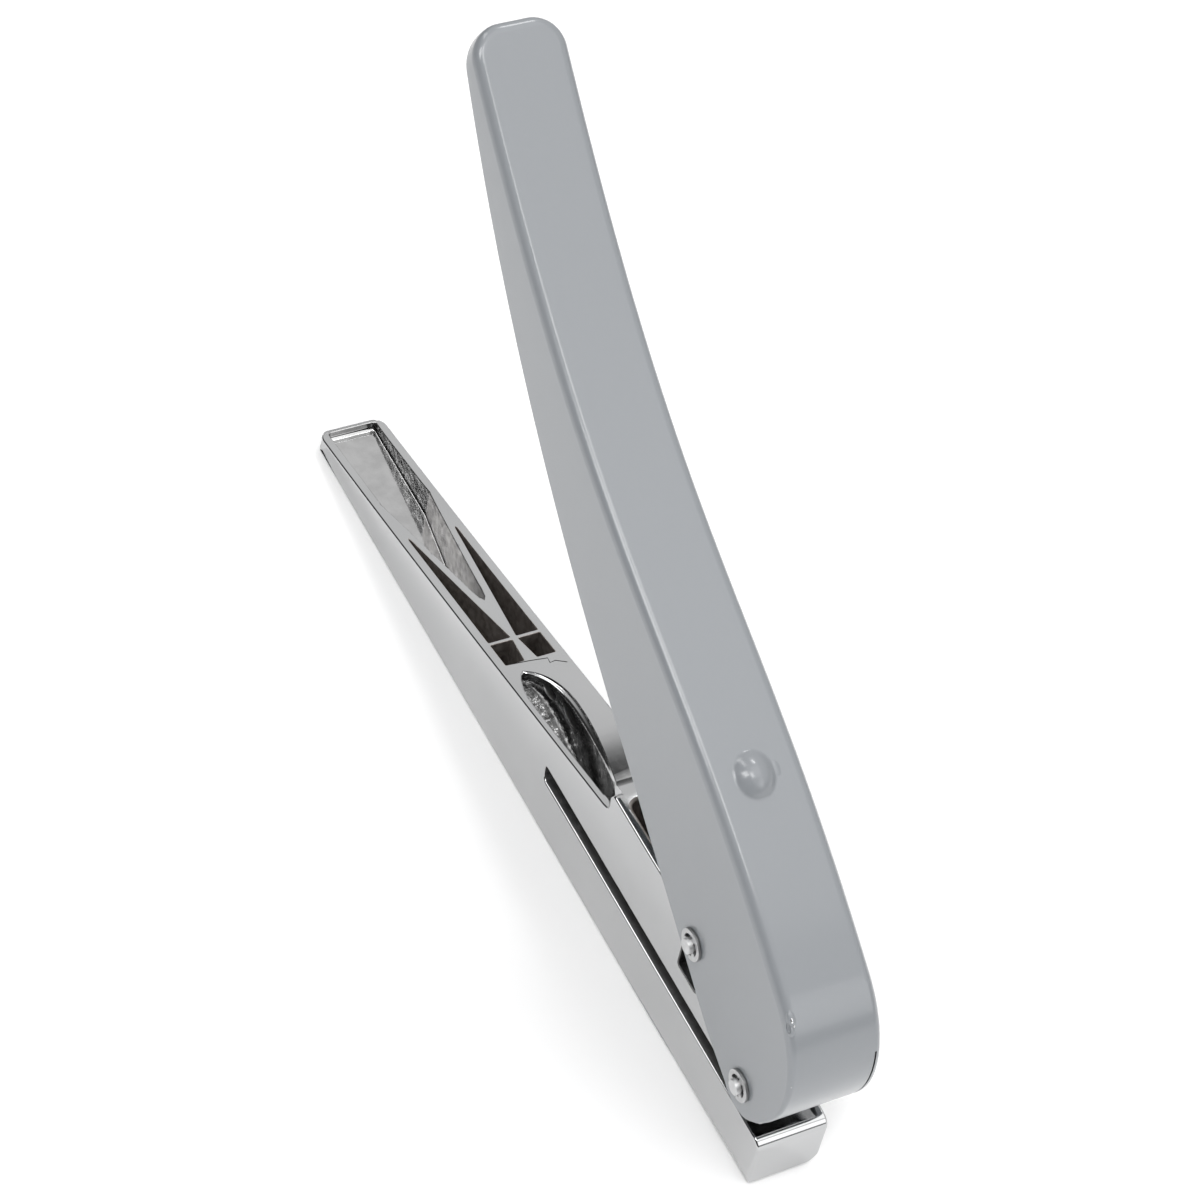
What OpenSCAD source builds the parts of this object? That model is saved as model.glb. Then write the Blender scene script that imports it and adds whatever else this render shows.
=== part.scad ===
// Long-reach single hole punch: die-cast base, pressed steel lever, sliding punch.
// Millimetres. X runs forward to the nose, Z is up, the origin lies on the underside below the pivot.

/* [Base] */
// Width of the base casting
body_w = 14; // [12:0.5:18]
// Distance from the pivot forward to the front of the lower jaw
nose_reach = 6.9; // [6:0.1:9]
// Distance from the pivot back to the free end of the arm
arm_reach = 178.8; // [165:0.5:200]
// Height of the lower jaw, the bed that the sheet lies on
bed_h = 12.4; // [10:0.1:15]
// Height of the sheet slot
slot_h = 3.8; // [2.5:0.1:5]
// Distance from the pivot back to the closed end of the sheet slot
throat = 77.4; // [62:0.5:92]
// Height of the arm at its free end
arm_end_h = 3.2; // [2.8:0.1:5]
// Height of the arm where it meets the upper jaw
arm_root_h = 28.5; // [26:0.25:31]
// Height of the upper jaw's side walls
jaw_h = 33.5; // [32:0.25:36]
// Thickness of the upper jaw's side walls
wall = 2; // [1.5:0.1:2.5]
// Thickness of the rim round the trough in the arm
rim = 1.9; // [1.2:0.1:2.6]
// Thickness of the two crossing ribs in the trough
rib_t = 1.2; // [0.8:0.1:2]
// Radius on the long lower edges
foot_r = 2.2; // [0.5:0.1:2.5]

/* [Pivot and drive pins] */
// Height of the pivot axis
pivot_z = 22.1; // [21:0.1:24]
// Diameter of both cross pins
pin_d = 3; // [2.5:0.1:3.4]
// Distance from the pivot to the drive pin
drive_r = 24.8; // [23:0.1:27]
// Angle of the drive pin above the pivot with the lever open
drive_a = 28.9; // [25:0.1:30]
// Outside diameter of the retaining rings
ring_d = 6; // [5.5:0.1:7]
// Thickness of the retaining rings
ring_t = 0.6; // [0.4:0.05:0.8]
// Length of each pin past its ring
pin_past = 1; // [0.4:0.1:2]

/* [Lever] */
// Angle of the open lever's lower edge to the bed
open_a = 34; // [32:0.5:36]
// Travel of the lever from open to closed
swing = 22; // [18:0.5:23]
// Thickness of the pressed sheet
sheet = 1.2; // [0.8:0.1:1.6]
// Distance from the pivot to the lever's tip
lever_reach = 181.2; // [170:0.2:195]
// Depth of the lever's flat lower edge below the pivot
lever_low = 7.5; // [7:0.1:9]
// Radius of the lobe round the pivot
lobe_r = 6.4; // [5:0.1:6.8]
// Radius of the rounded nose strip
nose_r = 20.7; // [19:0.1:22]
// Radius of the bends along the top
bend_r = 2; // [1.5:0.1:3]
// Radius of the tip's corners seen from above
tip_r = 6; // [4:0.25:8]
// Diameter of the pressed dome over the spring
dome_d = 8.2; // [7.6:0.1:10]
// Height of the pressed dome
dome_h = 2; // [1.6:0.1:3]

/* [Punch and bushes] */
// Diameter of the punched hole
hole_d = 6; // [5:0.1:6.4]
// Wall of the guide bush and the die bush
bush_wall = 1.6; // [1.2:0.1:1.8]
// Height of the die bush
die_h = 5; // [4:0.25:6]
// Height of the punch tip above the slot's top with the lever open
tip_gap = 1; // [0.5:0.1:2]

/* [Return spring] */
// Wire of the spring
wire_d = 0.8; // [0.6:0.05:1]
// Outside diameter of the spring
coil_d = 5.6; // [5.2:0.1:6]
// Curls in the spring
curls = 14; // [10:1:16]

/* [Clearances] */
// Running clearance of the pins, on the radius
pin_gap = 0.04; // [0.02:0.01:0.08]
// Gap between a lever plate and the base, each side
side_gap = 0.55; // [0.45:0.05:0.9]
// Running clearance of the punch in its bushes, on the radius
punch_gap = 0.05; // [0.02:0.01:0.09]
// Gap between the punch head and the channel, each side
head_gap = 0.25; // [0.1:0.05:0.4]
// Clearance of the drive pin in the punch head, all round
drive_gap = 0.2; // [0.16:0.02:0.3]

/* [Hidden] */
eps = 0.01;
big = 400;
$fn = 48;

// Drive pin, open and closed, and what follows from it
drive_x = -drive_r * cos(drive_a);
drive_z = pivot_z + drive_r * sin(drive_a);
drive_xc = -drive_r * cos(drive_a - swing);
drive_zc = pivot_z + drive_r * sin(drive_a - swing);
stroke = drive_z - drive_zc;
pin_r = pin_d / 2;
punch_x = (drive_x + drive_xc) / 2;
slide_half = (drive_x - drive_xc) / 2;

// Base
slot_z = bed_h + slot_h;
half_w = body_w / 2;
inner_half = half_w - wall;
chan_z = slot_z + 4.4;
chan_front = -8.5;
jaw_front = nose_reach - 1.4;
arm_root_x = -56.2;
ramp_x = -84;
ramp_top_x = arm_root_x - 0.6;
crest_r = 1.6;
ear_h = drive_z + pin_r + 2.9;
win_front = drive_x + pin_r + 0.35;
win_rear = drive_xc - pin_r - 0.35;
win_low = min(slot_z + 5.1, drive_zc - pin_r - 0.6);
win_high = drive_z + pin_r + 0.15;
floor_z = 1.6;
leaf_z = slot_z + 1.4;
LEAF = [[-95.9, -3], [-92, 4.6], [-76, 2.4], [-57.5, 1.5 - half_w]];
leaf_rim = 1.35;
bridge_x = -99;
spring_x = -37;
peg_r = coil_d / 2 - wire_d - 0.4;

// Lever
lever_half = half_w + side_gap + sheet;
plate_in = half_w + side_gap;
nose_u = 13.9;
nose_v = lever_low - 2.9;
top_v = nose_v + nose_r;
tip_low = 13.3;
tip_u = lever_reach - tip_r;
tip_top = 16.3;
tip_lift = 0.13;
TOP = [[nose_u, top_v], [nose_u + 65, top_v], [nose_u + 74, 4.9], [tip_u, tip_top]];
dome_t = 0.215;

// Punch and bushes
punch_r = hole_d / 2;
bush_r = punch_r + bush_wall;
head_r = inner_half - head_gap;
slot_r = pin_r + drive_gap;
head_up = slot_r + 1.8;
guide_top = chan_z + 0.7;
ring_y = lever_half + 0.1;
groove_r = pin_r - 0.35;

function arc(c, r, a0, a1, n) =
  [for (i = [0:n]) c + r * [cos(a0 + (a1 - a0) * i / n), sin(a0 + (a1 - a0) * i / n)]];
function bez(p, t) = pow(1 - t, 3) * p[0] + 3 * pow(1 - t, 2) * t * p[1]
  + 3 * (1 - t) * t * t * p[2] + pow(t, 3) * p[3];
function slope(p, t) = 3 * pow(1 - t, 2) * (p[1] - p[0]) + 6 * (1 - t) * t * (p[2] - p[1])
  + 3 * t * t * (p[3] - p[2]);
function arm_top(x) = arm_end_h + (arm_root_h - arm_end_h) * (x + arm_reach) / (arm_root_x + arm_reach);

// Draws an XZ outline as a slab across Y
module slab(w) {
  rotate([90, 0, 0]) linear_extrude(height = w, center = true) children();
}

// Lays children out in the lever's own frame, whose X runs forward along its lower edge
module in_lever() {
  translate([0, 0, pivot_z]) rotate([0, open_a, 0]) children();
}

// A cylinder across Y
module cross(r, w) {
  rotate([90, 0, 0]) cylinder(r = r, h = w, center = true);
}

// Top of the ramp that climbs from the arm to the upper jaw
function ramp_z(x) = arm_top(x)
  + (jaw_h - arm_top(ramp_top_x)) * pow((x - ramp_x) / (ramp_top_x - ramp_x), 2);

// Outline of the base seen from the side, with the slot and channel still solid
function base_outline() = concat(
  [[-arm_reach, 0.7], [-arm_reach + 0.7, 0], [nose_reach - 0.8, 0], [nose_reach, 0.8]],
  arc([nose_reach - 1.5, bed_h - 1.5], 1.5, 0, 90, 6),
  [[jaw_front - 1, bed_h], [jaw_front - 1, slot_z]],
  arc([jaw_front - 1, slot_z + 1], 1, -90, 0, 4),
  arc([jaw_front - 13.5, pivot_z + 3], 13.5, 0, 36, 6),
  [[-6, jaw_h], [ramp_top_x + 1.4, jaw_h], [ramp_top_x + 0.5, jaw_h - 0.15]],
  [for (i = [0:8]) let (x = ramp_top_x - 0.3 + (ramp_x - ramp_top_x + 0.3) * i / 8) [x, ramp_z(x)]],
  [[-98, arm_top(-98) - 0.5], [-149, arm_top(-149) - 0.9]],
  [[-arm_reach + 0.6, arm_end_h], [-arm_reach, arm_end_h - 0.6]]);

// Outline of the raised ear on each wall, which closes the drive pin's window at the top
function ear_outline() = concat(
  [[win_rear - 6, jaw_h - 2.5], [win_rear - 4.5, jaw_h - 0.5], [win_rear - 2.6, ear_h]],
  arc([chan_front - 5, ear_h - 8], 8, 90, 20, 6),
  [[chan_front + 4, jaw_h - 2.5]]);

// Plan of the base: rounded corners at the free end, small ones at the nose
function base_plan() = concat(
  arc([-arm_reach + 2.6, half_w - 2.6], 2.6, 90, 180, 8),
  arc([-arm_reach + 2.6, 2.6 - half_w], 2.6, 180, 270, 8),
  arc([nose_reach - 0.8, 0.8 - half_w], 0.8, -90, 0, 4),
  arc([nose_reach - 0.8, half_w - 0.8], 0.8, 0, 90, 4));

// Cross-section of the base: eased lower edges, and rounded wall tops on the upper jaw.
// The lower edges have only two flats each, so that the underside rests on its four corners.
function foot_section() = concat(
  arc([half_w - crest_r, jaw_h - crest_r], crest_r, 0, 90, 6),
  arc([crest_r - half_w, jaw_h - crest_r], crest_r, 90, 180, 6),
  arc([foot_r - half_w, foot_r], foot_r, 180, 270, 2),
  arc([half_w - foot_r, foot_r], foot_r, 270, 360, 2));

// The open trough in the arm, cut by the crossing ribs
module trough() {
  t = half_w - rim;
  v = rib_t / 2;
  x0 = -arm_reach + 1.7;
  xr = -150;
  xc = -105.7;
  s = t / (xc - xr);
  translate([0, 0, floor_z]) linear_extrude(height = big) {
    polygon(concat(arc([x0 + 1.2, t - 1.2], 1.2, 90, 180, 4), arc([x0 + 1.2, 1.2 - t], 1.2, 180, 270, 4),
      [[xr - v / s + 3, -t], [xc - v / s - 4, 0], [xr - v / s + 3, t]]));
    for (m = [-1, 1]) {
      polygon([[xr + v / s + 2.3, m * t], [xc - 0.4, m * (0.4 * s + v)], [xc - 0.4, m * t]]);
      polygon([[xc + 0.4, m * t], [xc + 0.4, m * (0.4 * s + v)], [bridge_x, m * ((bridge_x - xc) * s + v)],
        [bridge_x, m * t]]);
    }
  }
}

// The leaf-shaped recess beside the ramp, with a straight rim left along the near side
module leaf() {
  translate([0, 0, leaf_z]) linear_extrude(height = big)
    polygon(concat([for (i = [0:16]) bez(LEAF, i / 16)],
      [[-86, leaf_rim - half_w], [-91.5, leaf_rim + 0.5 - half_w]]));
  translate([0, leaf_rim / 2 + 0.2 - half_w, 0]) slab(leaf_rim + 0.5) polygon([[ramp_x, arm_top(ramp_x)],
    [arm_root_x, arm_top(arm_root_x)], [arm_root_x, big], [ramp_x, big]]);
}

// The open channel in the upper jaw that holds the punch and the spring
module channel() {
  r = 2;
  x0 = arm_root_x + 3;
  t = inner_half;
  translate([0, 0, chan_z]) linear_extrude(height = big)
    polygon(concat(arc([x0 + r, t - r], r, 90, 180, 6), arc([x0 + r, r - t], r, 180, 270, 6),
      [[chan_front, -t], [chan_front, t]]));
}

module base_casting() {
  color([0.8, 0.81, 0.83]) {
    difference() {
      union() {
        intersection() {
          slab(body_w) polygon(base_outline());
          linear_extrude(height = big) polygon(base_plan());
          translate([-big / 2, 0, 0]) rotate([90, 0, 90]) linear_extrude(height = big)
            polygon(foot_section());
        }
        slab(body_w) polygon(ear_outline());
      }
      translate([-throat + 1, -big / 2, bed_h]) cube([big, big, slot_h]);
      translate([-throat + 1, 0, bed_h + 1]) cross(1, big);
      translate([-throat + 1, 0, slot_z - 1]) cross(1, big);
      translate([-throat, -big / 2, bed_h + 1]) cube([2, big, slot_h - 2]);
      trough();
      leaf();
      channel();
      translate([win_rear, -big / 2, win_low]) cube([win_front - win_rear, big, win_high - win_low]);
      translate([0, 0, pivot_z]) cross(pin_r + pin_gap, big);
      translate([punch_x, 0, slot_z - 1]) cylinder(r = bush_r, h = chan_z - slot_z + 2);
      translate([punch_x, 0, bed_h - die_h]) cylinder(r = bush_r, h = die_h + 1);
      translate([punch_x, 0, -1]) cylinder(r = punch_r + 0.5, h = bed_h);
    }
    translate([spring_x, 0, chan_z - 0.5]) cylinder(r = peg_r, h = 3.5);
  }
}

// A plain bush round the punch
module bush(z0, h) {
  translate([punch_x, 0, z0]) difference() {
    cylinder(r = bush_r, h = h);
    translate([0, 0, -1]) cylinder(r = punch_r + punch_gap, h = h + 2);
  }
}

module die_bush() {
  color([0.5, 0.51, 0.53]) bush(bed_h - die_h, die_h);
}

module guide_bush() {
  color([0.5, 0.51, 0.53]) bush(slot_z, guide_top - slot_z);
}

// Lower edge of the lever at distance u behind the pivot
function low_v(u) = u <= 60 ? -lever_low
  : -lever_low + (tip_low + lever_low) * pow((u - 60) / (lever_reach - 60), 2.35);

// Stations along the lever: distance, top height, half width, bend radius, then the same for the inside
tip_n = 7;
long_n = 26;
roll_r = 2.4;
function roll(u) = u <= lever_reach - roll_r ? 0
  : roll_r - sqrt(max(0, roll_r * roll_r - pow(u - lever_reach + roll_r, 2)));
function tip_half(u, h, r) = u <= tip_u ? h : h - r + sqrt(max(0, r * r - pow(u - tip_u, 2)));
STATIONS = concat(
  [for (i = [0:long_n]) bez(TOP, i / long_n)],
  [for (k = [1:tip_n]) let (u = tip_u + tip_r * sin(90 * k / tip_n))
    [u, tip_top + tip_lift * (u - tip_u) - roll(u)]]);
function inside_u(u) = u <= tip_u ? u : tip_u + (u - tip_u) * (tip_r - sheet) / tip_r;

// One bent section of the channel, from the near lower edge over the top to the far one
bend_n = 5;
function half_section(h, w, r) = concat([[0, -w]],
  [for (k = [0:bend_n]) [h - r + r * sin(90 * k / bend_n), -w + r - r * cos(90 * k / bend_n)]]);
function section(u, h, w, r) = let (s = half_section(h, w, r), n = len(s) - 1)
  concat([for (p = s) [-u, p[1], low_v(u) + p[0]]], [for (i = [n:-1:0]) [-u, -s[i][1], low_v(u) + s[i][0]]]);
function outer(p) = let (h = p[1] - low_v(p[0]), w = tip_half(p[0], lever_half, tip_r))
  section(p[0], h, w, min(bend_r, h - 0.3, w - 0.3));
function inner(p) = let (u = inside_u(p[0]), h = p[1] - sheet - low_v(u),
  w = tip_half(u, plate_in, tip_r - sheet))
  section(u, h, w, min(bend_r - sheet, h - 0.2, w - 0.2));

// The folded channel as one skin: outside, inside, the two lower rims and both ends
module folded_channel() {
  m = 2 * (bend_n + 2);
  n = len(STATIONS);
  pts = concat([for (p = STATIONS) each outer(p)], [for (p = STATIONS) each inner(p)]);
  o = n * m;
  faces = concat(
    [for (i = [0:n - 2]) for (j = [0:m - 2]) each
      [[i * m + j, (i + 1) * m + j, (i + 1) * m + j + 1], [i * m + j, (i + 1) * m + j + 1, i * m + j + 1]]],
    [for (i = [0:n - 2]) for (j = [0:m - 2]) each
      [[o + i * m + j, o + (i + 1) * m + j + 1, o + (i + 1) * m + j],
       [o + i * m + j, o + i * m + j + 1, o + (i + 1) * m + j + 1]]],
    [for (i = [0:n - 2]) each
      [[i * m, o + i * m, o + (i + 1) * m], [i * m, o + (i + 1) * m, (i + 1) * m],
       [i * m + m - 1, o + (i + 1) * m + m - 1, o + i * m + m - 1],
       [i * m + m - 1, (i + 1) * m + m - 1, o + (i + 1) * m + m - 1]]],
    [for (j = [0:m - 2]) each [[j, j + 1, o + j + 1], [j, o + j + 1, o + j]]],
    [[for (j = [0:m - 1]) (n - 1) * m + m - 1 - j]],
    [[for (j = [0:m - 1]) o + (n - 1) * m + j]],
    [[(n - 1) * m, o + (n - 1) * m, o + n * m - 1], [(n - 1) * m, o + n * m - 1, n * m - 1]]);
  polyhedron(points = pts, faces = faces, convexity = 6);
}

// Outline of one side plate at the nose, in the lever's frame
function nose_plate() = concat(
  [[-nose_u - 0.4, -lever_low], [-9.5, -lever_low]],
  arc([0, 0], lobe_r, -98, -10, 14),
  [[nose_r - nose_u, 1.6]],
  arc([-nose_u, nose_v], nose_r, 0, 90, 18),
  [[-nose_u, top_v - bend_r - 0.1], [-nose_u - 0.4, top_v - bend_r - 0.1]]);

// The strip bent round the nose between the plates
function nose_strip() = concat(
  arc([-nose_u, nose_v], nose_r, -1, 90, 18),
  [[-nose_u - 0.4, top_v], [-nose_u - 0.4, top_v - sheet]],
  arc([-nose_u, nose_v], nose_r - sheet, 90, -1, 18));

dome_at = bez(TOP, dome_t);
dome_dir = slope(TOP, dome_t);
dome_tilt = atan2(-dome_dir[1], dome_dir[0]);
dome_s = (dome_d * dome_d / 4 + dome_h * dome_h) / (2 * dome_h);

// Puts children at the dome's foot, with Z along its axis
module at_dome() {
  translate([-dome_at[0], 0, dome_at[1]]) rotate([0, -dome_tilt, 0]) children();
}

module lever() {
  color([0.64, 0.655, 0.67]) in_lever() difference() {
    union() {
      folded_channel();
      for (m = [-1, 1]) translate([0, m * (lever_half - sheet / 2), 0]) slab(sheet) polygon(nose_plate());
      slab(2 * plate_in + 2 * eps) polygon(nose_strip());
      at_dome() intersection() {
        translate([0, 0, dome_h - dome_s]) sphere(r = dome_s);
        translate([-dome_d, -dome_d, -sheet / 2]) cube([2 * dome_d, 2 * dome_d, dome_d]);
      }
    }
    at_dome() translate([0, 0, dome_h - dome_s]) sphere(r = dome_s - sheet);
    for (m = [-1, 1]) translate([0.3 - nose_u, m * lever_half, top_v - bend_r - 0.2])
      cylinder(r = sheet + 0.15, h = 2 * bend_r);
    cross(pin_r + pin_gap, big);
    rotate([0, drive_a - open_a, 0]) translate([-drive_r, 0, 0]) cross(pin_r + pin_gap, big);
  }
}

// A cross pin with a ring groove and a small chamfer at each end
module cross_pin() {
  l = 2 * (ring_y + ring_t + pin_past);
  c = 0.3;
  rotate([90, 0, 0]) difference() {
    union() {
      cylinder(r = pin_r, h = l - 2 * c, center = true);
      for (m = [0, 1]) mirror([0, 0, m]) translate([0, 0, l / 2 - c - eps])
        cylinder(r1 = pin_r, r2 = pin_r - c, h = c + eps);
    }
    for (m = [0, 1]) mirror([0, 0, m]) translate([0, 0, ring_y - 0.03]) difference() {
      cylinder(r = pin_r + 1, h = ring_t + 0.06);
      translate([0, 0, -1]) cylinder(r = groove_r, h = ring_t + 2);
    }
  }
}

// An E-shaped retaining ring with three prongs and an open mouth
module e_ring() {
  r = ring_d / 2;
  k = r - 0.9;
  rotate([90, 0, 0]) translate([0, 0, -ring_t / 2]) linear_extrude(height = ring_t) difference() {
    union() {
      difference() {
        circle(r = r);
        circle(r = k);
      }
      intersection() {
        circle(r = k + 0.1);
        for (a = [0, 118, 242]) rotate(a) translate([0, -0.6]) square([k + 1, 1.2]);
      }
    }
    circle(r = groove_r + 0.03);
    translate([-r - 1, -groove_r]) square([r + 1, 2 * groove_r]);
  }
}

// One ring at each end of a pin; the mouth points down and a little back, as far as can be seen
mouth_a = 285;
module pivot_ring(m) {
  translate([0, m * (ring_y + ring_t / 2), pivot_z]) rotate([0, mouth_a, 0]) e_ring();
}

module drive_ring(m) {
  translate([drive_x, m * (ring_y + ring_t / 2), drive_z]) rotate([0, mouth_a, 0]) e_ring();
}

// A thin thrust washer between a lever plate and the base
module washer(m) {
  t = side_gap - 0.15;
  translate([0, m * (half_w + side_gap / 2), pivot_z]) difference() {
    cross(pin_r + 1.9, t);
    cross(pin_r + pin_gap, t + 1);
  }
}

module pivot_pin() {
  color([0.62, 0.63, 0.65]) translate([0, 0, pivot_z]) cross_pin();
}

module drive_pin() {
  color([0.62, 0.63, 0.65]) translate([drive_x, 0, drive_z]) cross_pin();
}

module pivot_ring_near() {
  color([0.3, 0.3, 0.32]) pivot_ring(-1);
}

module pivot_ring_far() {
  color([0.3, 0.3, 0.32]) pivot_ring(1);
}

module drive_ring_near() {
  color([0.3, 0.3, 0.32]) drive_ring(-1);
}

module drive_ring_far() {
  color([0.3, 0.3, 0.32]) drive_ring(1);
}

module pivot_washer_near() {
  color([0.7, 0.71, 0.72]) washer(-1);
}

module pivot_washer_far() {
  color([0.7, 0.71, 0.72]) washer(1);
}

// The punch: a round head with a cross slot for the drive pin, and a shank with a hollowed end
module punch() {
  tip_z = slot_z + tip_gap;
  color([0.55, 0.56, 0.58]) translate([punch_x, 0, 0]) difference() {
    union() {
      translate([0, 0, drive_z - head_up]) cylinder(r = head_r, h = 2 * head_up);
      translate([0, 0, tip_z]) cylinder(r = punch_r, h = drive_z - tip_z - slot_r - 0.5);
    }
    translate([0, 0, drive_z]) {
      cube([2 * slide_half, big, 2 * slot_r], center = true);
      for (m = [-1, 1]) translate([m * slide_half, 0, 0]) cross(slot_r, big);
    }
    translate([0, 0, tip_z - 7]) rotate([0, 90, 0]) cylinder(r = 7.6, h = big, center = true, $fn = 96);
  }
}

// Spring line from the peg's foot up into the dome's hollow
spring_z = chan_z + wire_d / 2 + 0.15;
dome_in = [-dome_at[0], dome_at[1] - sheet - wire_d / 2 - 0.75];
spring_top = [dome_in[0] * cos(open_a) + dome_in[1] * sin(open_a),
  pivot_z - dome_in[0] * sin(open_a) + dome_in[1] * cos(open_a)];
spring_run = spring_top - [spring_x, spring_z];
spring_l = norm(spring_run);
spring_a = atan2(spring_run[0], spring_run[1]);
coil_r = (coil_d - wire_d) / 2;
turn_n = 8;
COIL = [for (i = [0:curls * turn_n]) let (a = 360 * i / turn_n)
  [coil_r * cos(a), coil_r * sin(a), spring_l * i / (curls * turn_n)]];
self_gap = min([for (i = [0:2 * turn_n]) for (j = [i + 5:i + 2 * turn_n]) norm(COIL[j] - COIL[i])]) - wire_d;

module return_spring() {
  k = 6;
  n = len(COIL);
  lead = atan2(spring_l / curls, 2 * PI * coil_r);
  pts = [for (i = [0:n - 1]) let (a = 360 * i / turn_n) for (j = [0:k - 1])
    let (b = 360 * j / k, out = wire_d / 2 * cos(b), up = wire_d / 2 * sin(b))
    COIL[i] + [out * cos(a) + up * sin(lead) * sin(a), out * sin(a) - up * sin(lead) * cos(a),
      up * cos(lead)]];
  faces = concat(
    [for (i = [0:n - 2]) for (j = [0:k - 1]) let (q = (j + 1) % k) each
      [[i * k + j, i * k + q, (i + 1) * k + q], [i * k + j, (i + 1) * k + q, (i + 1) * k + j]]],
    [[for (j = [0:k - 1]) k - 1 - j]],
    [[for (j = [0:k - 1]) (n - 1) * k + j]]);
  color([0.66, 0.67, 0.69]) translate([spring_x, 0, spring_z]) rotate([0, spring_a, 0])
    polyhedron(points = pts, faces = faces, convexity = 10);
}

echo(drive_open = [drive_x, drive_z], drive_closed = [drive_xc, drive_zc], stroke = stroke);
echo(ratio_m_per_rad = stroke / 1000 / (swing * PI / 180), punch_x = punch_x);
echo(spring_foot = [spring_x, spring_z], spring_top = spring_top, length = spring_l, self_gap = self_gap);
echo(dome = dome_at, tilt = dome_tilt);

base_casting();
die_bush();
guide_bush();
lever();
pivot_pin();
pivot_ring_near();
pivot_ring_far();
pivot_washer_near();
pivot_washer_far();
drive_pin();
drive_ring_near();
drive_ring_far();
punch();
return_spring();
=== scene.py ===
# %% [markdown]
# # A long-reach hole punch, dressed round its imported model
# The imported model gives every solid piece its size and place. This lesson keeps that frame and makes
# what the eye sees: chrome with soft cast edges, a pressed lever under grey enamel, pins, rings and a coil.

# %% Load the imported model
import math

import bmesh
import bpy
from mathutils import Matrix, Vector


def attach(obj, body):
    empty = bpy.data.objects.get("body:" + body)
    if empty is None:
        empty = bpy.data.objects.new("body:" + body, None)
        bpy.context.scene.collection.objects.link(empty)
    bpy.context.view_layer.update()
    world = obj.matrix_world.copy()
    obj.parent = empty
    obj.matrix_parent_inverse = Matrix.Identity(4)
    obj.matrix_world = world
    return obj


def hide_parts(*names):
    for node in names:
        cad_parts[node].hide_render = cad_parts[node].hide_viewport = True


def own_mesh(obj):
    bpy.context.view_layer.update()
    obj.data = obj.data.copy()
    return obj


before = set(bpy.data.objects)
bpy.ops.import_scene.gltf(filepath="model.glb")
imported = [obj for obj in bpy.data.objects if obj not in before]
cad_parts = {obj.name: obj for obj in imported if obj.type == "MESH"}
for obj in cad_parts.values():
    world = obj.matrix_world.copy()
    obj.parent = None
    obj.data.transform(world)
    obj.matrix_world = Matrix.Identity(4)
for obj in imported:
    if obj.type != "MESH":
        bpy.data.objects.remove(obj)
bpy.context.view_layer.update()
MM = 0.001
scene = bpy.context.scene
print("nodes:", sorted(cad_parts))

# %% [markdown]
# ## The camera
# The photograph looks down on the nose from the near side. A long lens keeps the base's edges almost
# parallel, so the camera is set from two directions and a place instead of being aimed by eye.

# %% Make the camera
CAMERA_AT = (0.2673, -0.2500, 0.5232)
CAMERA_RIGHT = Vector((0.4413, 0.8858, 0.1440))
CAMERA_FORWARD = Vector((-0.5488, 0.3933, -0.7377))
SENSOR_W, LENS = 36, 109.38
camera = bpy.data.objects.new("camera", bpy.data.cameras.new("camera"))
camera.data.sensor_width = SENSOR_W
camera.data.lens = LENS
forward = CAMERA_FORWARD.normalized()
right = (CAMERA_RIGHT - CAMERA_RIGHT.dot(forward) * forward).normalized()
turn = Matrix((right, right.cross(forward), -forward)).transposed()
camera.matrix_world = Matrix.Translation(CAMERA_AT) @ turn.to_4x4()
scene.collection.objects.link(camera)
scene.camera = camera
print("camera at", CAMERA_AT, "lens", LENS)

# %% [markdown]
# ## Finishes
# Every finish is a small node tree on Object coordinates, which are metres here. A noise of scale 1000
# therefore has grains of about a millimetre. Values that are the same all over sit on the shader itself.

# %% Node helpers
# Nearly all of a noise lies between these two values.
NOISE_LOW, NOISE_HIGH = 0.3, 0.7


def set_inputs(node, values):
    """Gives a node's inputs their values, and links those whose value is another node's output."""
    for name, value in values.items():
        if isinstance(value, bpy.types.NodeSocket):
            node.id_data.links.new(value, node.inputs[name])
        else:
            node.inputs[name].default_value = value


def new_node(tree, kind, values):
    node = tree.nodes.new(kind)
    set_inputs(node, values)
    return node


def new_finish(name, metallic=0.0):
    made = bpy.data.materials.new(name)
    made.use_nodes = True
    tree = made.node_tree
    shader = tree.nodes["Principled BSDF"]
    set_inputs(shader, {"Metallic": metallic})
    place = tree.nodes.new("ShaderNodeTexCoord")
    return made, tree, shader, place.outputs["Object"]


def noise(tree, place, scale, detail=2.0, stretch=None):
    if stretch:
        mapping = new_node(tree, "ShaderNodeMapping", {"Scale": stretch, "Vector": place})
        place = mapping.outputs["Vector"]
    values = {"Scale": scale, "Detail": detail, "Vector": place}
    return new_node(tree, "ShaderNodeTexNoise", values).outputs["Fac"]


def ramp(tree, value, stops):
    node = new_node(tree, "ShaderNodeValToRGB", {"Fac": value})
    points = node.color_ramp.elements
    while len(points) < len(stops):
        points.new(0.5)
    for point, (at, colour) in zip(points, stops):
        point.position = at
        point.color = (*colour, 1)
    return node.outputs["Color"]


def blended(tree, value, dark, light):
    return ramp(tree, value, [(NOISE_LOW, dark), (NOISE_HIGH, light)])


def spread(tree, value, low, high, start=NOISE_LOW, end=NOISE_HIGH, how="LINEAR"):
    values = {"Value": value, "From Min": start, "From Max": end, "To Min": low, "To Max": high}
    node = new_node(tree, "ShaderNodeMapRange", values)
    node.interpolation_type = how
    return node.outputs["Result"]


def feed(shader, tint, rough):
    set_inputs(shader, {"Base Color": tint, "Roughness": rough})


def bump(tree, shader, value, depth, strength, under=None):
    values = {"Strength": strength, "Distance": depth, "Height": value}
    if under:
        values["Normal"] = under
    normal = new_node(tree, "ShaderNodeBump", values).outputs["Normal"]
    set_inputs(shader, {"Normal": normal})
    return normal


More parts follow.
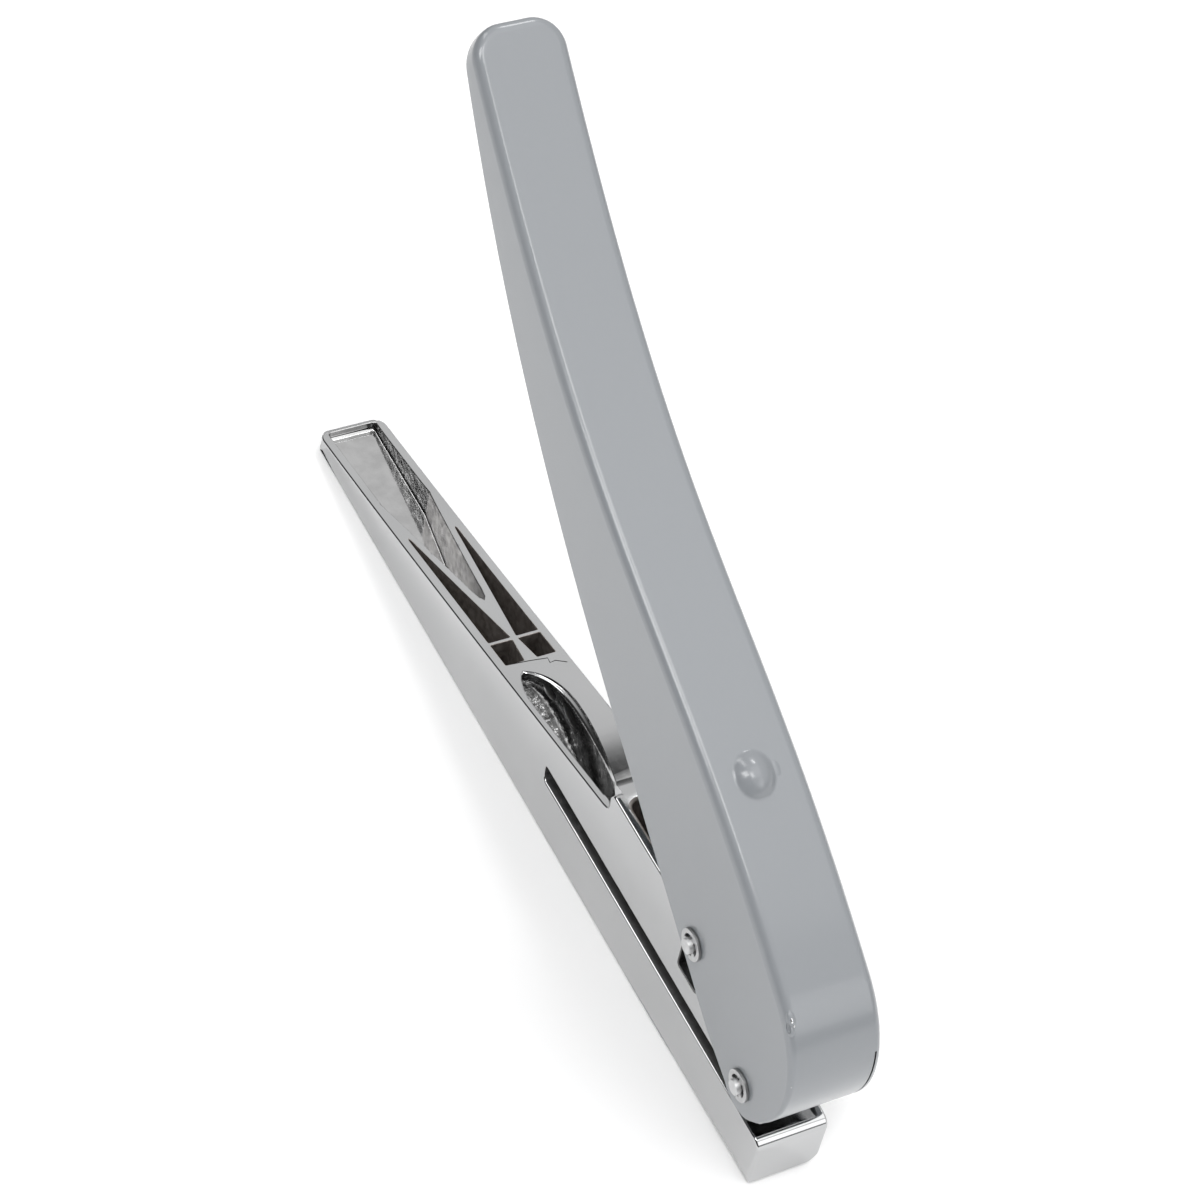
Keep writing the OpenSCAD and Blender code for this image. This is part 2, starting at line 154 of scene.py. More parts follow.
def grey(level, blue=0.0):
    return (level - blue, level, level + blue)


# %% [markdown]
# The lever wears a glossy stoved enamel. It is almost even, with a faint mottle, a fine orange peel that
# softens the reflections, and a speck of dust here and there under the surface.

# %% Grey enamel
ENAMEL_DARK, ENAMEL_LIGHT = (0.212, 0.224, 0.238), (0.214, 0.226, 0.240)
ENAMEL_ROUGH, PEEL_DEPTH, PEEL_STRENGTH = (0.28, 0.29), 0.000001, 0.3
DUST_SCALE, DUST_TONE, DUST_SHARE = 110, grey(0.6), grey(0.45)
DUST_R, DUST_RIM = 0.018, 0.024
enamel, tree, shader, place = new_finish("grey_enamel")
mottle = blended(tree, noise(tree, place, 900, 3), ENAMEL_DARK, ENAMEL_LIGHT)
dots = new_node(tree, "ShaderNodeTexVoronoi", {"Scale": DUST_SCALE, "Vector": place})
dust = ramp(tree, dots.outputs["Distance"], [(DUST_R, DUST_SHARE), (DUST_RIM, grey(0.0))])
mix = new_node(tree, "ShaderNodeMixRGB", {"Fac": dust, "Color1": mottle, "Color2": (*DUST_TONE, 1)})
feed(shader, mix.outputs["Color"], spread(tree, noise(tree, place, 1400, 2), *ENAMEL_ROUGH))
set_inputs(shader, {"Coat Weight": 0.5, "Coat Roughness": 0.11})
bump(tree, shader, noise(tree, place, 700, 1), PEEL_DEPTH, PEEL_STRENGTH)
print("finish:", enamel.name)

# %% [markdown]
# The base is a die casting under bright chrome. The plating is a mirror, but the casting below it waves a
# little and the polishing leaves faint lines along its length. In the pockets no wheel can polish, so the
# plating there shows the raw casting, grainy and rough. Where shade falls in them, their finishes are
# painted darker, and some carry bright specks as painted glints.

# %% Polished chrome
CHROME_DARK, CHROME_LIGHT, CHROME_ROUGH = grey(0.47, 0.004), grey(0.55, 0.004), (0.06, 0.13)
POLISH, FINE_POLISH = (0.08, 1, 1), (0.03, 1, 1)
WAVE_DEPTH, POLISH_DEPTH = 0.00006, 0.000001
chrome, tree, shader, place = new_finish("bright_chrome", 1.0)
tint = blended(tree, noise(tree, place, 22, 3), CHROME_DARK, CHROME_LIGHT)
feed(shader, tint, spread(tree, noise(tree, place, 700, 3, POLISH), *CHROME_ROUGH))
waves = bump(tree, shader, noise(tree, place, 130, 1), WAVE_DEPTH, 0.5)
bump(tree, shader, noise(tree, place, 2500, 2, FINE_POLISH), POLISH_DEPTH, 0.5, waves)
print("finish:", chrome.name)


# %% Chrome as cast
def cast_chrome(name, dark, light, rough, depth, grain, painted_glint=None):
    """Grainy plating. The last value, if given, is the level of the painted glints on the highest grains."""
    made, tree, shader, place = new_finish(name, 1.0)
    stops = [(0.35, dark), (0.62, light)]
    if painted_glint:
        stops += [(0.66, light), (0.69, grey(painted_glint))]
    tint = ramp(tree, noise(tree, place, grain, 4), stops)
    feed(shader, tint, spread(tree, noise(tree, place, grain * 1.7, 3), *rough))
    coarse = bump(tree, shader, noise(tree, place, grain * 0.45, 3), depth, 0.8)
    bump(tree, shader, noise(tree, place, grain * 2.5, 4), depth * 0.35, 0.9, coarse)
    return made


trough_cast = cast_chrome("trough_cast", grey(0.46), grey(0.53), (0.06, 0.12), 0.00003, 260)
# Near-black with bright specks for the trough's far wall: a painted dark reflection, with painted glints.
shaded_wall_cast = cast_chrome("shaded_wall_cast", grey(0.06), grey(0.36), (0.12, 0.30), 0.00012, 900, 0.8)
# Darker for the walls of the rib's V: painted shade.
shaded_rib_cast = cast_chrome("shaded_rib_cast", (0.27, 0.26, 0.26), (0.38, 0.37, 0.36), (0.30, 0.45), 0.00004, 400)
pocket_cast = cast_chrome("pocket_cast", (0.33, 0.30, 0.28), (0.48, 0.45, 0.43), (0.45, 0.65), 0.0001, 700)
# The leaf's walls carry bright specks: painted glints.
leaf_cast = cast_chrome("leaf_cast", grey(0.24), grey(0.50), (0.12, 0.28), 0.00016, 520, 0.9)
# Near-black with bright specks for the leaf's floor: painted shade, with painted glints.
shaded_leaf_floor = cast_chrome("shaded_leaf_floor", grey(0.05), grey(0.17), (0.10, 0.24), 0.0002, 620, 0.8)
# Dark for the inside of the slot: painted shade.
shaded_slot_cast = cast_chrome("shaded_slot_cast", grey(0.15), grey(0.19), (0.50, 0.65), 0.00005, 600, 0.3)
# Dark for the windows, the ejector marks and the flow line: painted shade in these recesses.
shaded_recess_cast = cast_chrome("shaded_recess_cast", grey(0.10), grey(0.16), (0.30, 0.50), 0.00005, 600)
print("cast finishes:", [m.name for m in bpy.data.materials if m.name.endswith("_cast")])

# %% [markdown]
# The small pieces are bare steel. Pins are turned, so their lines run round; stamped rings and washers are
# greyer and duller; the punch and its bushes are ground; the spring wire is drawn, with lines along it.


# %% Steels
def steel(name, level, rough, grain, stretch=(1, 1, 1)):
    made, tree, shader, place = new_finish(name, 1.0)
    lines = noise(tree, place, grain, 3, stretch)
    fine_lines = noise(tree, place, grain * 2, 3, stretch)
    tint = blended(tree, lines, grey(level * 0.9), grey(level, 0.006))
    feed(shader, tint, spread(tree, fine_lines, *rough))
    bump(tree, shader, noise(tree, place, grain * 3, 3, stretch), 0.000002, 0.5)
    return made


pin_steel = steel("turned_pin_steel", 0.64, (0.45, 0.58), 900, (1, 4, 1))
ring_steel = steel("stamped_ring_steel", 0.55, (0.42, 0.54), 1200)
# Darker steel for the rings' sheared edges: painted shade.
ring_edge_shade_steel = steel("stamped_ring_edge_shade", 0.34, (0.45, 0.6), 1200)
washer_steel = steel("plain_washer_steel", 0.6, (0.25, 0.4), 1200)
tool_steel = steel("ground_tool_steel", 0.5, (0.15, 0.3), 1500, (1, 1, 0.1))
spring_steel = steel("drawn_spring_wire", 0.55, (0.2, 0.34), 2500, (1, 1, 0.3))
# Near-white steel for two bumps of the wrinkle: a painted highlight.
fold_highlight_steel = steel("painted_highlight_fold_steel", 0.95, (0.2, 0.3), 1200)
# Near-black for the inside of the nose's seam: painted shade.
seam_shade_steel = steel("painted_shade_seam_steel", 0.05, (0.5, 0.6), 1200)
print("finishes in all:", len(bpy.data.materials))

# %% [markdown]
# ## Shapes from rings
# Nearly every hard piece here is an outline with thickness. A stack of rings gives it: each ring is the
# outline moved in or out a little, so a quarter circle of rings turns a hard edge into a soft one. A cast
# pocket is cut by such a stack, flared at its rim, and the flare leaves the pocket a rounded lip.


# %% Outline helpers, in millimetres
def arc(centre, radius, start, end, steps):
    turns = [math.radians(start + (end - start) * k / steps) for k in range(steps + 1)]
    return [(centre[0] + radius * math.cos(a), centre[1] + radius * math.sin(a)) for a in turns]


def quarter(steps):
    """Sine and cosine at even steps over a quarter turn."""
    turns = [math.pi / 2 * k / steps for k in range(steps + 1)]
    return [(math.sin(a), math.cos(a)) for a in turns]


def bezier(points, t):
    a, b, c, d = (Vector(p) for p in points)
    return (1 - t) ** 3 * a + 3 * (1 - t) ** 2 * t * b + 3 * (1 - t) * t * t * c + t**3 * d


def area(outline):
    pairs = zip(outline, outline[1:] + outline[:1])
    return sum(p[0] * q[1] - q[0] * p[1] for p, q in pairs) / 2


def each(value, outline):
    """One value for each point of the outline, from a list or from one number."""
    return value if isinstance(value, list) else [value] * len(outline)


def rounded(outline, radius, steps=4):
    made = []
    for i, point in enumerate(outline):
        p, before, after = Vector(point), Vector(outline[i - 1]), Vector(outline[(i + 1) % len(outline)])
        a, b = (before - p), (after - p)
        half = a.angle(b) / 2
        reach = min(radius / math.tan(half), 0.45 * a.length, 0.45 * b.length)
        near, far = p + a.normalized() * reach, p + b.normalized() * reach
        for k in range(steps + 1):
            t = k / steps
            made.append(tuple((1 - t) ** 2 * near + 2 * t * (1 - t) * p + t * t * far))
    return made


def leaning(outline):
    """The outward direction at each point, long enough to move both edges beside it by one."""
    sign = 1 if area(outline) > 0 else -1
    made = []
    for i, point in enumerate(outline):
        p, before, after = Vector(point), Vector(outline[i - 1]), Vector(outline[(i + 1) % len(outline)])
        a, b = (p - before).normalized(), (after - p).normalized()
        m, n = Vector((a.y, -a.x)), Vector((b.y, -b.x))
        made.append((m + n) * (sign / max(0.4, 1 + m.dot(n))))
    return made


def moved(outline, by):
    """The outline moved outward by one distance, or by one for each point."""
    steps = zip(outline, leaning(outline), each(by, outline))
    return [(p[0] + n.x * d, p[1] + n.y * d) for p, n, d in steps]


def stripe(points, half):
    """A thin outline along a line of points."""
    sides = []
    for i, point in enumerate(points):
        along = Vector(points[min(i + 1, len(points) - 1)]) - Vector(points[max(i - 1, 0)])
        out = Vector((-along.y, along.x)).normalized() * half
        sides.append((tuple(Vector(point) + out), tuple(Vector(point) - out)))
    return [a for a, b in sides] + [b for a, b in reversed(sides)]


# %% Solids from rings
# Points closer than this, in metres, are one point.
MERGE = 1e-7


def clean(mesh, gap, outward=False):
    """Merges points that lie within the gap, and counts the edges that are left open."""
    work = bmesh.new()
    work.from_mesh(mesh)
    bmesh.ops.remove_doubles(work, verts=work.verts, dist=gap)
    bmesh.ops.dissolve_degenerate(work, edges=work.edges, dist=gap)
    if outward:
        bmesh.ops.recalc_face_normals(work, faces=work.faces)
    loose = sum(not e.is_manifold for e in work.edges)
    work.to_mesh(mesh)
    work.free()
    return loose


def solid(name, rings, finish, caps=(0, -1), end=()):
    """A closed mesh from rings of equal length, with caps, or with faces of its own on the last ring."""
    count = len(rings[0])
    points = [tuple(c * MM for c in p) for ring in rings for p in ring]
    faces = [tuple(range(cap % len(rings) * count, (cap % len(rings) + 1) * count)) for cap in caps]
    faces += [tuple((len(rings) - 1) * count + i for i in face) for face in end]
    for i in range(len(rings) - 1):
        for j in range(count):
            k = (j + 1) % count
            faces.append((i * count + j, i * count + k, (i + 1) * count + k, (i + 1) * count + j))
    mesh = bpy.data.meshes.new(name)
    mesh.from_pydata(points, [], faces)
    loose = clean(mesh, MERGE, outward=True)
    if loose:
        print(name, "has open edges:", loose)
    mesh.materials.append(finish)
    made = bpy.data.objects.new(name, mesh)
    scene.collection.objects.link(made)
    return made


# %% Slabs, pockets and turned pieces
def across(p, h):
    return (p[0], h, p[1])


def upward(p, h):
    return (p[0], p[1], h)


def soft_slab(
    name, outline, low, high, finish, low_r, high_r=None, lay=across, steps=6, inset=0.0, squat=1.0
):
    """An outline with thickness and quarter-circle edges. A radius may be one number, or one for each point.
    The inset draws both sides in at a point, which rounds the slab's corners seen along the outline.
    The squat flattens the edge at a point, so that most of it leans only a little from the top."""
    inset, squat = each(inset, outline), each(squat, outline)
    sides = []
    for radius in (low_r, low_r if high_r is None else high_r):
        radius = each(radius, outline)
        rings = []
        for s, c in quarter(steps):
            inner = moved(outline, [-r * q * (1 - s) for r, q in zip(radius, squat)])
            rings.append([(p, i + r * (1 - c)) for p, r, i in zip(inner, radius, inset)])
        sides.append(rings)
    rings = [[lay(p, low + d) for p, d in ring] for ring in sides[0]]
    rings += [[lay(p, high - d) for p, d in ring] for ring in reversed(sides[1])]
    return solid(name, rings, finish)


# A lip is a row of (outward, downward) shares of the rim's width, from the wall to just over the surface.
ROUND_LIP = [(1 - math.cos(math.radians(a)), 1 - math.sin(math.radians(a))) for a in range(0, 84, 14)]
ROUND_LIP += [(0.86, 0.01), (1, -0.03)]
STEP_LIP = [(0, 1), (0.05, 0.78), (0.18, 0.60), (0.45, 0.50), (0.78, 0.42), (0.86, 0.36)]
STEP_LIP += [(0.90, 0.12), (0.94, 0.03), (1, -0.03)]
CUT_CLEAR = 30


def pocket(name, outline, floor, surface, finish, rim, fillet, lip=ROUND_LIP, steps=6):
    """A cutter: a floor with a fillet, a straight wall, and a lip that opens out to the surface."""
    rim, fillet = each(rim, outline), each(fillet, outline)
    rings = []
    for s, c in quarter(steps):
        inner = moved(outline, [-f * (1 - s) for f in fillet])
        rings.append([upward(p, floor + f * (1 - c)) for p, f in zip(inner, fillet)])
    for out, drop in lip:
        outer = moved(outline, [r * out for r in rim])
        rings.append([upward(p, surface(p, i) - rim[i] * drop) for i, p in enumerate(outer)])
    rings.append([upward(p, surface(p, i) + CUT_CLEAR) for i, p in enumerate(outer)])
    return solid(name, rings, finish)


# The rings at both ends of a lathe profile have this radius instead of none, and merge into a point.
AXIS_R = 1e-5


def turned(name, profile, finish, lay, sides=48):
    """A lathe piece: a profile of (radius, height) pairs, from axis to axis, laid out by lay(a, b, h)."""
    rings = []
    for radius, height in profile:
        ring = arc((0, 0), max(radius, AXIS_R), 0, 360, sides)[:-1]
        rings.append([lay(a, b, height) for a, b in ring])
    return solid(name, rings, finish)


# %% Joining, cutting and shading
def combine(body, others, how):
    """Joins or cuts with a Boolean, keeps each cutter's own finish on its faces, and removes the cutters."""
    for other in others:
        cut = body.modifiers.new("boolean", "BOOLEAN")
        cut.operation, cut.object, cut.solver, cut.material_mode = how, other, "MANIFOLD", "TRANSFER"
    bpy.context.view_layer.update()
    mesh = bpy.data.meshes.new_from_object(body.evaluated_get(bpy.context.evaluated_depsgraph_get()))
    body.modifiers.clear()
    body.data = mesh
    for other in others:
        bpy.data.objects.remove(other)
    return body


def shade(piece, crease=38):
    """Smooth shading with true flats: each corner takes the normal of the large faces beside it."""
    loose = clean(piece.data, 2 * MERGE)
    for face in piece.data.polygons:
        face.use_smooth = True
    piece.data.set_sharp_from_angle(angle=math.radians(crease))
    weigh = piece.modifiers.new("weighted_normal", "WEIGHTED_NORMAL")
    weigh.keep_sharp = True
    weigh.weight = 80
    print(piece.name, "faces:", len(piece.data.polygons), "open edges:", loose)
    return piece


# %% [markdown]
# ## The base casting
# A bar with a long slot along its side, a sloping arm behind and a hollow jaw in front. The side view is
# one outline, slot and all, laid across the width with soft edges. The ramp beside the leaf-shaped recess
# is a second slab joined on, because the near rim stays down on the arm's own plane.

# %% Sizes of the base
HALF_W = 7.0
NOSE_X, JAW_X, ROOT_X, ARM_X = 6.9, 5.5, -56.2, -178.8
BED_Z, SLOT_Z, JAW_Z, CHANNEL_Z = 12.4, 16.2, 33.5, 20.6
THROAT_X, SLOT_X = -77.4, -5.0
PIVOT_Z = 22.1
PUNCH_X, PEG_X = -23.166, -37
RAMP_X, RAMP_TOP_X = -84.0, -56.8
ARM_END_Z, ARM_RISE, ARM_SAG, SAG_LEAN = 3.2, 25.3, 3.2, 0.55
BORE_R, BUSH_R = 1.54, 4.6


def arm_z(x):
    """Height of the arm's top, which sags a little between its ends."""
    share = (x - ARM_X) / (ROOT_X - ARM_X)
    return ARM_END_Z + ARM_RISE * share - ARM_SAG * share * (1 - share) * (1 - SAG_LEAN * share)


def ramp_z(x):
    """Height of the ramp, which rises from the arm to the jaw."""
    share = max(0.0, (x - RAMP_X) / (RAMP_TOP_X - RAMP_X))
    return arm_z(x) + (JAW_Z - arm_z(RAMP_TOP_X)) * share**2


# %% The side view and its edge radii
END_R, END_CORNER, END_STEPS = 3.6, 1.3, (1.6, 2.0, 2.6, 3.1, 3.6)
CREST, LOW_CREST = 1.0, 0.3
ARM_EDGE, FRONT_EDGE, SLOT_EDGE, BED_EDGE, LOW_BED = 0.42, 0.55, 0.3, 0.9, 0.22
LIP_R, JAW_R, CREST_R = 2.1, 13.5, 1.7
side, edge, squat = [], [], []


def add(points, radius, low=1.0):
    """Adds points to the side view, with the radius of the edge there and how far it is flattened."""
    side.extend(points)
    edge.extend([radius] * len(points))
    squat.extend([low] * len(points))


def end_inset(x):
    """How far the sides draw in at the free end, whose corners are round seen from above."""
    reach = max(0.0, ARM_X + END_R - x)
    return END_R - math.sqrt(max(0.0, END_R**2 - reach**2))


add(arc((ARM_X + END_CORNER, END_CORNER), END_CORNER, 180, 270, 8), ARM_EDGE)
add([(ARM_X + d, 0) for d in END_STEPS], ARM_EDGE)
add([(-170, 0), (-90, 0), (0, 0)], 0.4)
add(arc((NOSE_X - 1, 1), 1, 270, 360, 6), FRONT_EDGE)
add([(NOSE_X, 5)], FRONT_EDGE)
add(arc((NOSE_X - LIP_R, BED_Z - LIP_R), LIP_R, 0, 90, 12), 0.45)
add([(4, BED_Z)], 0.5, 0.6)
add([(0, BED_Z), (SLOT_X, BED_Z), (-30, BED_Z), (-60, BED_Z)], BED_EDGE, LOW_BED)
add(arc((THROAT_X + 1, BED_Z + 1), 1, 270, 180, 6), 0.4)
add(arc((THROAT_X + 1, SLOT_Z - 1), 1, 180, 90, 6), SLOT_EDGE)
add([(-60, SLOT_Z), (-30, SLOT_Z), (0, SLOT_Z)], SLOT_EDGE)
add(arc((JAW_X - 1, SLOT_Z + 1), 1, 270, 360, 6), 0.4)
add(arc((JAW_X - JAW_R, PIVOT_Z + 3), JAW_R, 0, 36, 8), 0.6)
add([(-6, JAW_Z), (-20, JAW_Z), (-40, JAW_Z), (-52, JAW_Z)], CREST, LOW_CREST)
add(arc((ROOT_X + CREST_R, JAW_Z - CREST_R), CREST_R, 90, 180, 8), CREST, LOW_CREST)
add([(ROOT_X, 30.4)], 0.7)
add([(ROOT_X, 29.2), (ROOT_X - 0.15, 28.75), (ROOT_X - 0.5, 28.45)], ARM_EDGE)
add([(x, arm_z(x)) for x in range(-58, -175, -3)], ARM_EDGE)
add([(ARM_X + d, arm_z(ARM_X + d)) for d in reversed(END_STEPS)], ARM_EDGE)
add(arc((ARM_X + END_CORNER, arm_z(ARM_X) - END_CORNER), END_CORNER, 90, 180, 8), ARM_EDGE)
insets = [end_inset(x) for x, _ in side]
casting = soft_slab("punch_base", side, -HALF_W, HALF_W, chrome, edge, inset=insets, squat=squat)
print("side view points:", len(side))

# %% Ramp and ears joined on
RAMP_STEPS, RAMP_FROM, RAMP_RUN, RAMP_NEAR_Y = 14, -57.1, 28.9, -5.3
SKIN, END_SINK = 0.02, 0.15
EAR_NEAR_Y, EAR_FAR_Y, EAR_W = -6.99, 5.01, 1.98
ramp_side = [(-53.9, 24), (-53.9, JAW_Z - SKIN), (-55.4, JAW_Z - SKIN), (-56.3, JAW_Z - 0.14)]
ramp_edge, ramp_squat = [CREST] * 4, [LOW_CREST] * 4
for k in range(RAMP_STEPS + 1):
    share = k / RAMP_STEPS
    x = RAMP_FROM - RAMP_RUN * share
    ramp_side.append((x, ramp_z(x) - SKIN - (END_SINK if k == RAMP_STEPS else 0)))
    ramp_edge.append(CREST - (CREST - ARM_EDGE) * share)
    ramp_squat.append(LOW_CREST + (1 - LOW_CREST) * share)
ramp_side += [(-86.5, 18), (-70, 18)]
ramp_edge += [0.3, 0.3]
ramp_squat += [1.0, 1.0]
ramp_slab = soft_slab(
    "ramp", ramp_side, RAMP_NEAR_Y, HALF_W - 0.001, chrome, 0.05, ramp_edge, squat=ramp_squat
)
ear_side = [(-32.5, 31), (-31, 33), (-29, 38.2), (-27.5, 38.6)]
ear_side += arc((-13.5, 30.6), 8, 90, 20, 6) + [(-4.5, 31)]
ears = [soft_slab("ear", ear_side, y, y + EAR_W, chrome, 0.35) for y in (EAR_NEAR_Y, EAR_FAR_Y)]
combine(casting, [ramp_slab, *ears], "UNION")
print("joined:", len(casting.data.polygons), "faces")

# %% [markdown]
# The foot is eased by intersecting with a long bar whose lower corners are round, more on the far side as
# the photograph shows at the nose. The bar has many stations, because long thin faces would shade badly.

# %% Foot
FOOT_X = [-300, *range(-186, 13, 6), 60]
NEAR_R, NEAR_GROWTH, FAR_R = 0.7, 1.5, 4.4
GROW_X, GROW_RUN = -30, 36
BAR_Y, BAR_Z = 20, 60


def foot_ring(x):
    near = NEAR_R + NEAR_GROWTH * min(1.0, max(0.0, (x - GROW_X) / GROW_RUN))
    ring = arc((HALF_W - FAR_R, FAR_R), FAR_R, 270, 360, 12)
    ring += [(BAR_Y, FAR_R), (BAR_Y, BAR_Z), (-BAR_Y, BAR_Z), (-BAR_Y, near)]
    ring += arc((near - HALF_W, near), near, 180, 270, 8)
    return [(x, y, z) for y, z in ring]


bar = solid("foot", [foot_ring(x) for x in FOOT_X], chrome)
combine(casting, [bar], "INTERSECT")
print("foot stations:", len(FOOT_X))

# %% [markdown]
# The arm is cored out to save metal: a trough with a pointed end and four cells between crossing ribs. Each
# core is a pocket with its own finish. A crooked flow line crosses the bridge, where metal met metal in the
# mould; it is a thin stripe sunk into the surface, and its dark finish is painted shade in the groove.


# %% Pockets of the arm
def on_arm(p, _):
    return arm_z(p[0])


WALL_Y, RIB_Y, FLOOR_Z = 5.1, 0.646, 1.6
TROUGH_X, TAPER_X, POINT_X = -177.1, -152.2, -114.9
WEDGE_X, RIB_BACK_X, RIB_FRONT_X, BRIDGE_X = -142.5, -106.1, -105.3, -99.0
cutters = []
trough = [(TROUGH_X, WALL_Y), (TROUGH_X, -WALL_Y), (TAPER_X, -WALL_Y), (POINT_X, 0), (TAPER_X, WALL_Y)]
trough = rounded(trough, 0.9)
trough_fillet = [0.25 if x > -176.4 and y > 0 else 0.7 for x, y in trough]
cutters.append(pocket("trough", trough, FLOOR_Z, on_arm, trough_cast, 0.28, trough_fillet))
for m in (-1, 1):
    wall, rib = m * WALL_Y, m * RIB_Y
    wedge = [(WEDGE_X, wall), (RIB_BACK_X, rib), (RIB_BACK_X, wall)]
    cell = [(RIB_FRONT_X, wall), (RIB_FRONT_X, rib), (BRIDGE_X, m * 1.371), (BRIDGE_X, wall)]
    for name, shape in (("wedge", wedge), ("cell", cell)):
        cutters.append(pocket(name, rounded(shape, 0.25), FLOOR_Z, on_arm, pocket_cast, 0.16, 0.4))
FLOW_LINE = [(-99.0, -4.9), (-98.5, -0.5), (-97.9, 2.9), (-96.5, 2.7), (-96.7, 3.9), (-95.4, 5.7)]
FLOW_HALF_W, FLOW_DEPTH = 0.12, 0.14
flow = stripe(FLOW_LINE, FLOW_HALF_W)
flow_rings = [[upward(p, arm_z(p[0]) + h) for p in flow] for h in (-FLOW_DEPTH, 1)]
# The stripe takes the dark recess finish: painted shade.
cutters.append(solid("flow_line", flow_rings, shaded_recess_cast))
print("pockets and flow line:", len(cutters))

# %% [markdown]
# The leaf-shaped recess lies half under the ramp. Its far wall is a long curve with a wide fillet and a
# stepped lip, so rim and fillet are given point by point. Two squashed balls leave the shallow ovals that
# ejector pins press into a casting.

# %% The leaf beside the ramp
LEAF = [(-95.9, -3), (-92, 3.4), (-76, 1.3), (-57.5, -5.5)]
LEAF_Z, FAR_N = 17.6, 29
leaf_far = [tuple(bezier(LEAF, k / (FAR_N - 1))) for k in range(FAR_N)]
leaf_near = [(-60, -5.55), (-68, -5.62), (-78, -5.65), (-86, -5.65), (-89, -5.52), (-91.5, -5.15)]
leaf_near += [(-94, -4.4), (-95.3, -3.8)]
leaf = leaf_far + leaf_near
bulge = [math.sin(math.pi * (k + 1) / (FAR_N + 1)) for k in range(FAR_N)]
leaf_rim = [0.3 + 1.0 * b for b in bulge] + [0.22] * len(leaf_near)
leaf_fillet = [0.25 + 3.0 * b for b in bulge] + [0.2] * len(leaf_near)


def on_leaf(p, i):
    return ramp_z(p[0]) if i < FAR_N else arm_z(p[0])


cutters.append(pocket("leaf", leaf, LEAF_Z, on_leaf, leaf_cast, leaf_rim, leaf_fillet, STEP_LIP, steps=9))
print("leaf points:", len(leaf))

# %% Ejector marks in the leaf
# Each mark: its centre, the direction out of the wall, half its length and half its width.
MARKS = (
    ((-90.7, 0.0, 18.9), (0.13, -0.9, 0.42), 2.0, 0.85),
    ((-83.6, 0.65, 19.9), (-0.07, -0.96, 0.26), 3.2, 1.1),
)
MARK_OUT, MARK_DEPTH = 0.12, 0.3
ball = [(math.sin(math.pi * k / 10), -math.cos(math.pi * k / 10)) for k in range(11)]
for centre, out, length, width in MARKS:
    out = Vector(out).normalized()
    along = (Vector((1, 0, 0)) - out.x * out).normalized()
    up = along.cross(out)
    spot = Vector(centre) + MARK_OUT * out

    def on_wall(a, b, h):
        return tuple(spot + along * length * a + up * width * b + out * MARK_DEPTH * h)

    # Each oval takes the dark recess finish: painted shade.
    cutters.append(turned("mark", ball, shaded_recess_cast, on_wall))
print("ejector marks:", len(MARKS))

# %% [markdown]
# The jaw is hollow for the punch, with a window in each wall for the drive pin, and drilled for the bushes
# and the pivot. All of these are cutters, taken away in one go, and the spring's peg is joined on last.

# %% Channel, windows and holes
channel = rounded([(-53.2, 5), (-53.2, -5), (-8.5, -5), (-8.5, 5)], 2, 8)
cutters.append(pocket("channel", channel, CHANNEL_Z, lambda p, _: JAW_Z, pocket_cast, 0.7, 0.6))
window = rounded([(-26.47, 21.3), (-19.86, 21.3), (-19.86, 35.74), (-26.47, 35.74)], 0.7)
flare = [(0.3, -7.3), (0.3, -7.0), (0.09, -6.91), (0, -6.7), (0, 6.7), (0.09, 6.91), (0.3, 7.0), (0.3, 7.3)]
# The window's walls take the dark recess finish: painted shade.
cutters.append(solid("window", [[across(p, y) for p in moved(window, d)] for d, y in flare], shaded_recess_cast))


def round_hole(name, x, profile):
    return turned(name, profile, pocket_cast, lambda a, b, h: (x + a, b, h))


guide_hole = [(0, 15), (BUSH_R, 15), (BUSH_R, 22), (0, 22)]
die_hole = [(0, -1), (4.2, -1), (4.2, -0.02), (3.7, 0.25), (3.5, 0.7), (3.5, 7.4)]
die_hole += [(BUSH_R, 7.4), (BUSH_R, 13), (0, 13)]
cutters.append(round_hole("guide_hole", PUNCH_X, guide_hole))
cutters.append(round_hole("die_hole", PUNCH_X, die_hole))
bore = [(0, -9), (BORE_R, -9), (BORE_R, 9), (0, 9)]
cutters.append(turned("bore", bore, pocket_cast, lambda a, b, h: (a, h, PIVOT_Z + b)))
print("cutters for the base:", len(cutters))
combine(casting, cutters, "DIFFERENCE")
peg = [(0, 20.1), (1.6, 20.1), (1.6, 23.2), (1.3, 23.6), (0, 23.6)]
combine(casting, [round_hole("peg", PEG_X, peg)], "UNION")

# %% [markdown]
# One casting shows many finishes, since a wheel polishes only what it can reach. The cutters left their own
# finish behind. Where that isn't fine enough, faces are sorted by where they lie and which way they look:
# walls facing the near side, the leaf's floor and the inside of the slot take darker finishes, painted
# shade, and the tops of the leaf's lip take bright chrome.

